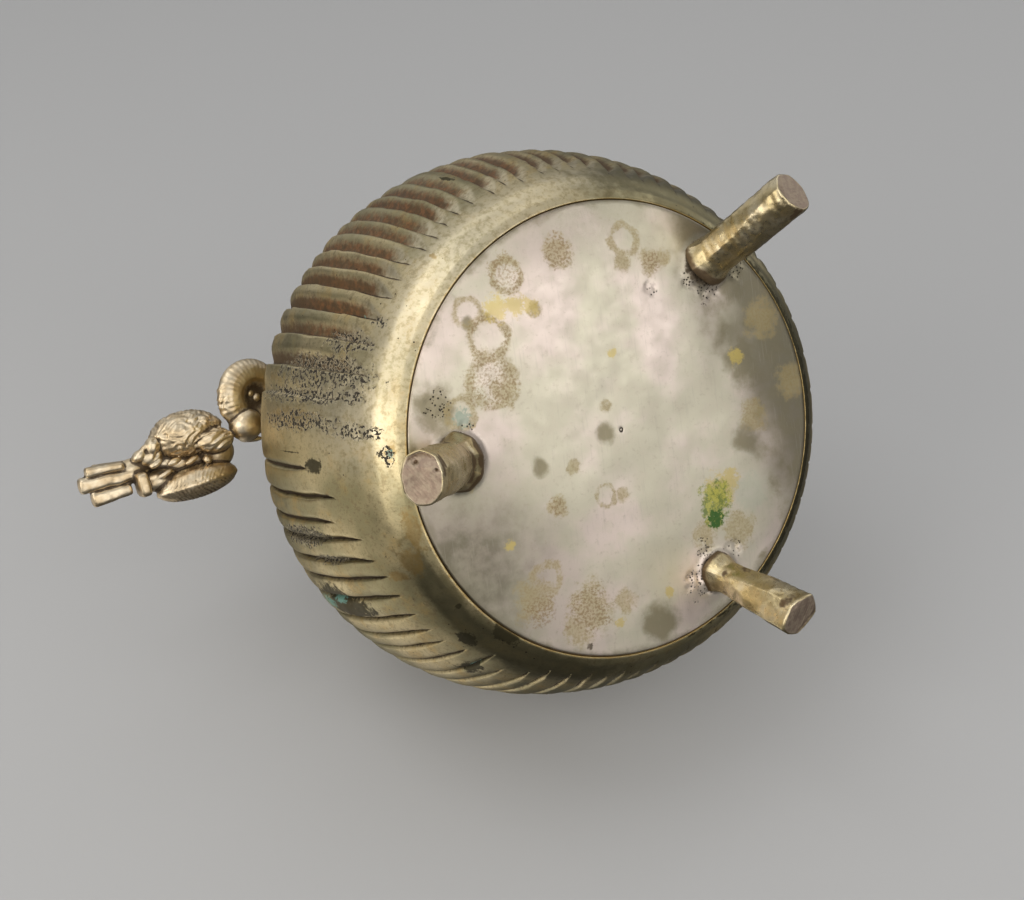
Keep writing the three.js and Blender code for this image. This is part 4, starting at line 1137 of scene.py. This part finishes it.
def soft_light(name, way, distance, size, bright, colour):
    data = bpy.data.lights.new(name, "AREA")
    data.shape = "RECTANGLE"
    data.size, data.size_y = size
    data.energy = bright * math.pi * size[0] * size[1]
    data.color = colour
    light = bpy.data.objects.new(name, data)
    light.location = POT_CENTRE + Vector(way).normalized() * distance
    light.rotation_mode = "QUATERNION"
    light.rotation_quaternion = (POT_CENTRE - light.location).to_track_quat("-Z", "Y")
    bpy.context.scene.collection.objects.link(light)


def new_node(tree, kind, *inputs, **settings):
    """The outputs of a new node, its first inputs linked or set and its settings made."""
    node = tree.nodes.new("ShaderNode" + kind)
    for setting, value in settings.items():
        setattr(node, setting, value)
    for socket, value in zip(node.inputs, inputs):
        if isinstance(value, bpy.types.NodeSocket):
            tree.links.new(value, socket)
        else:
            socket.default_value = value
    return node.outputs


def stage_plane(name, at, normal, colour, glow=0.0, past_floor=False):
    """A wide plane, clear from behind, that neither lights nor darkens the pot. It can glow of itself.
    past_floor: above the floor it shows only to a view that has come up through the floor."""
    mesh = bpy.data.meshes.new(name)
    corners = [(x * STAGE_HALF, y * STAGE_HALF, 0) for x, y in ((-1, -1), (1, -1), (1, 1), (-1, 1))]
    mesh.from_pydata(corners, [], [(0, 1, 2, 3)])
    plane = bpy.data.objects.new(name, mesh)
    plane.location = at
    plane.rotation_mode = "QUATERNION"
    plane.rotation_quaternion = Vector(normal).to_track_quat("Z", "Y")
    bpy.context.scene.collection.objects.link(plane)
    material = bpy.data.materials.new(name)
    material.use_nodes = True
    tree = material.node_tree
    tree.nodes.clear()
    paint = new_node(tree, "BsdfDiffuse", (*colour, 1))[0]
    if glow:
        paint = new_node(tree, "AddShader", paint, new_node(tree, "Emission", (*colour, 1), glow)[0])[0]
    geometry = new_node(tree, "NewGeometry")
    clear = geometry["Backfacing"]
    if past_floor:
        depth = new_node(tree, "LightPath")["Transparent Depth"]
        unhindered = new_node(tree, "Math", depth, 0.5, operation="LESS_THAN")[0]
        high = new_node(tree, "SeparateXYZ", geometry["Position"])["Z"]
        over_floor = new_node(tree, "Math", high, 0, operation="GREATER_THAN")[0]
        both = new_node(tree, "Math", unhindered, over_floor, operation="MULTIPLY")[0]
        clear = new_node(tree, "Math", both, clear, operation="MAXIMUM")[0]
    mixed = new_node(tree, "MixShader", clear, paint, new_node(tree, "BsdfTransparent")[0])[0]
    new_node(tree, "OutputMaterial", mixed)
    mesh.materials.append(material)
    plane.visible_diffuse = plane.visible_glossy = plane.visible_transmission = plane.visible_shadow = False


stage_plane("floor", (POT_CENTRE.x, POT_CENTRE.y, 0), (0, 0, 1), FLOOR_GREY, glow=FLOOR_GLOW)
stage_plane("back_cloth", CLOTH_AT, SLOPE, CLOTH_GREY, past_floor=True)
for light_name, facts in LIGHTS.items():
    soft_light(light_name, *facts)

# The world is brightest above the photo and behind its camera; seen straight it is plain
WORLD_FADE = {"From Min": -0.35, "From Max": 0.75, "To Min": 0.07, "To Max": 0.5}
WORLD_SEEN = 0.7

world = bpy.data.worlds.new("studio")
bpy.context.scene.world = world
world.use_nodes = True
sky = world.node_tree
direction = new_node(sky, "TexCoord")["Generated"]
facing = new_node(sky, "VectorMath", direction, SLOPE, operation="DOT_PRODUCT")["Value"]
fade = new_node(sky, "MapRange", facing, *WORLD_FADE.values())["Result"]
seen = new_node(sky, "LightPath")["Is Camera Ray"]
choose = sky.nodes.new("ShaderNodeMix")
choose.data_type = "FLOAT"
sky.links.new(seen, choose.inputs[0])
sky.links.new(fade, choose.inputs[2])
choose.inputs[3].default_value = WORLD_SEEN
background = sky.nodes["Background"]
sky.links.new(choose.outputs[0], background.inputs["Strength"])
background.inputs["Color"].default_value = (1, 1, 1, 1)

bpy.context.scene.view_settings.view_transform = "Standard"
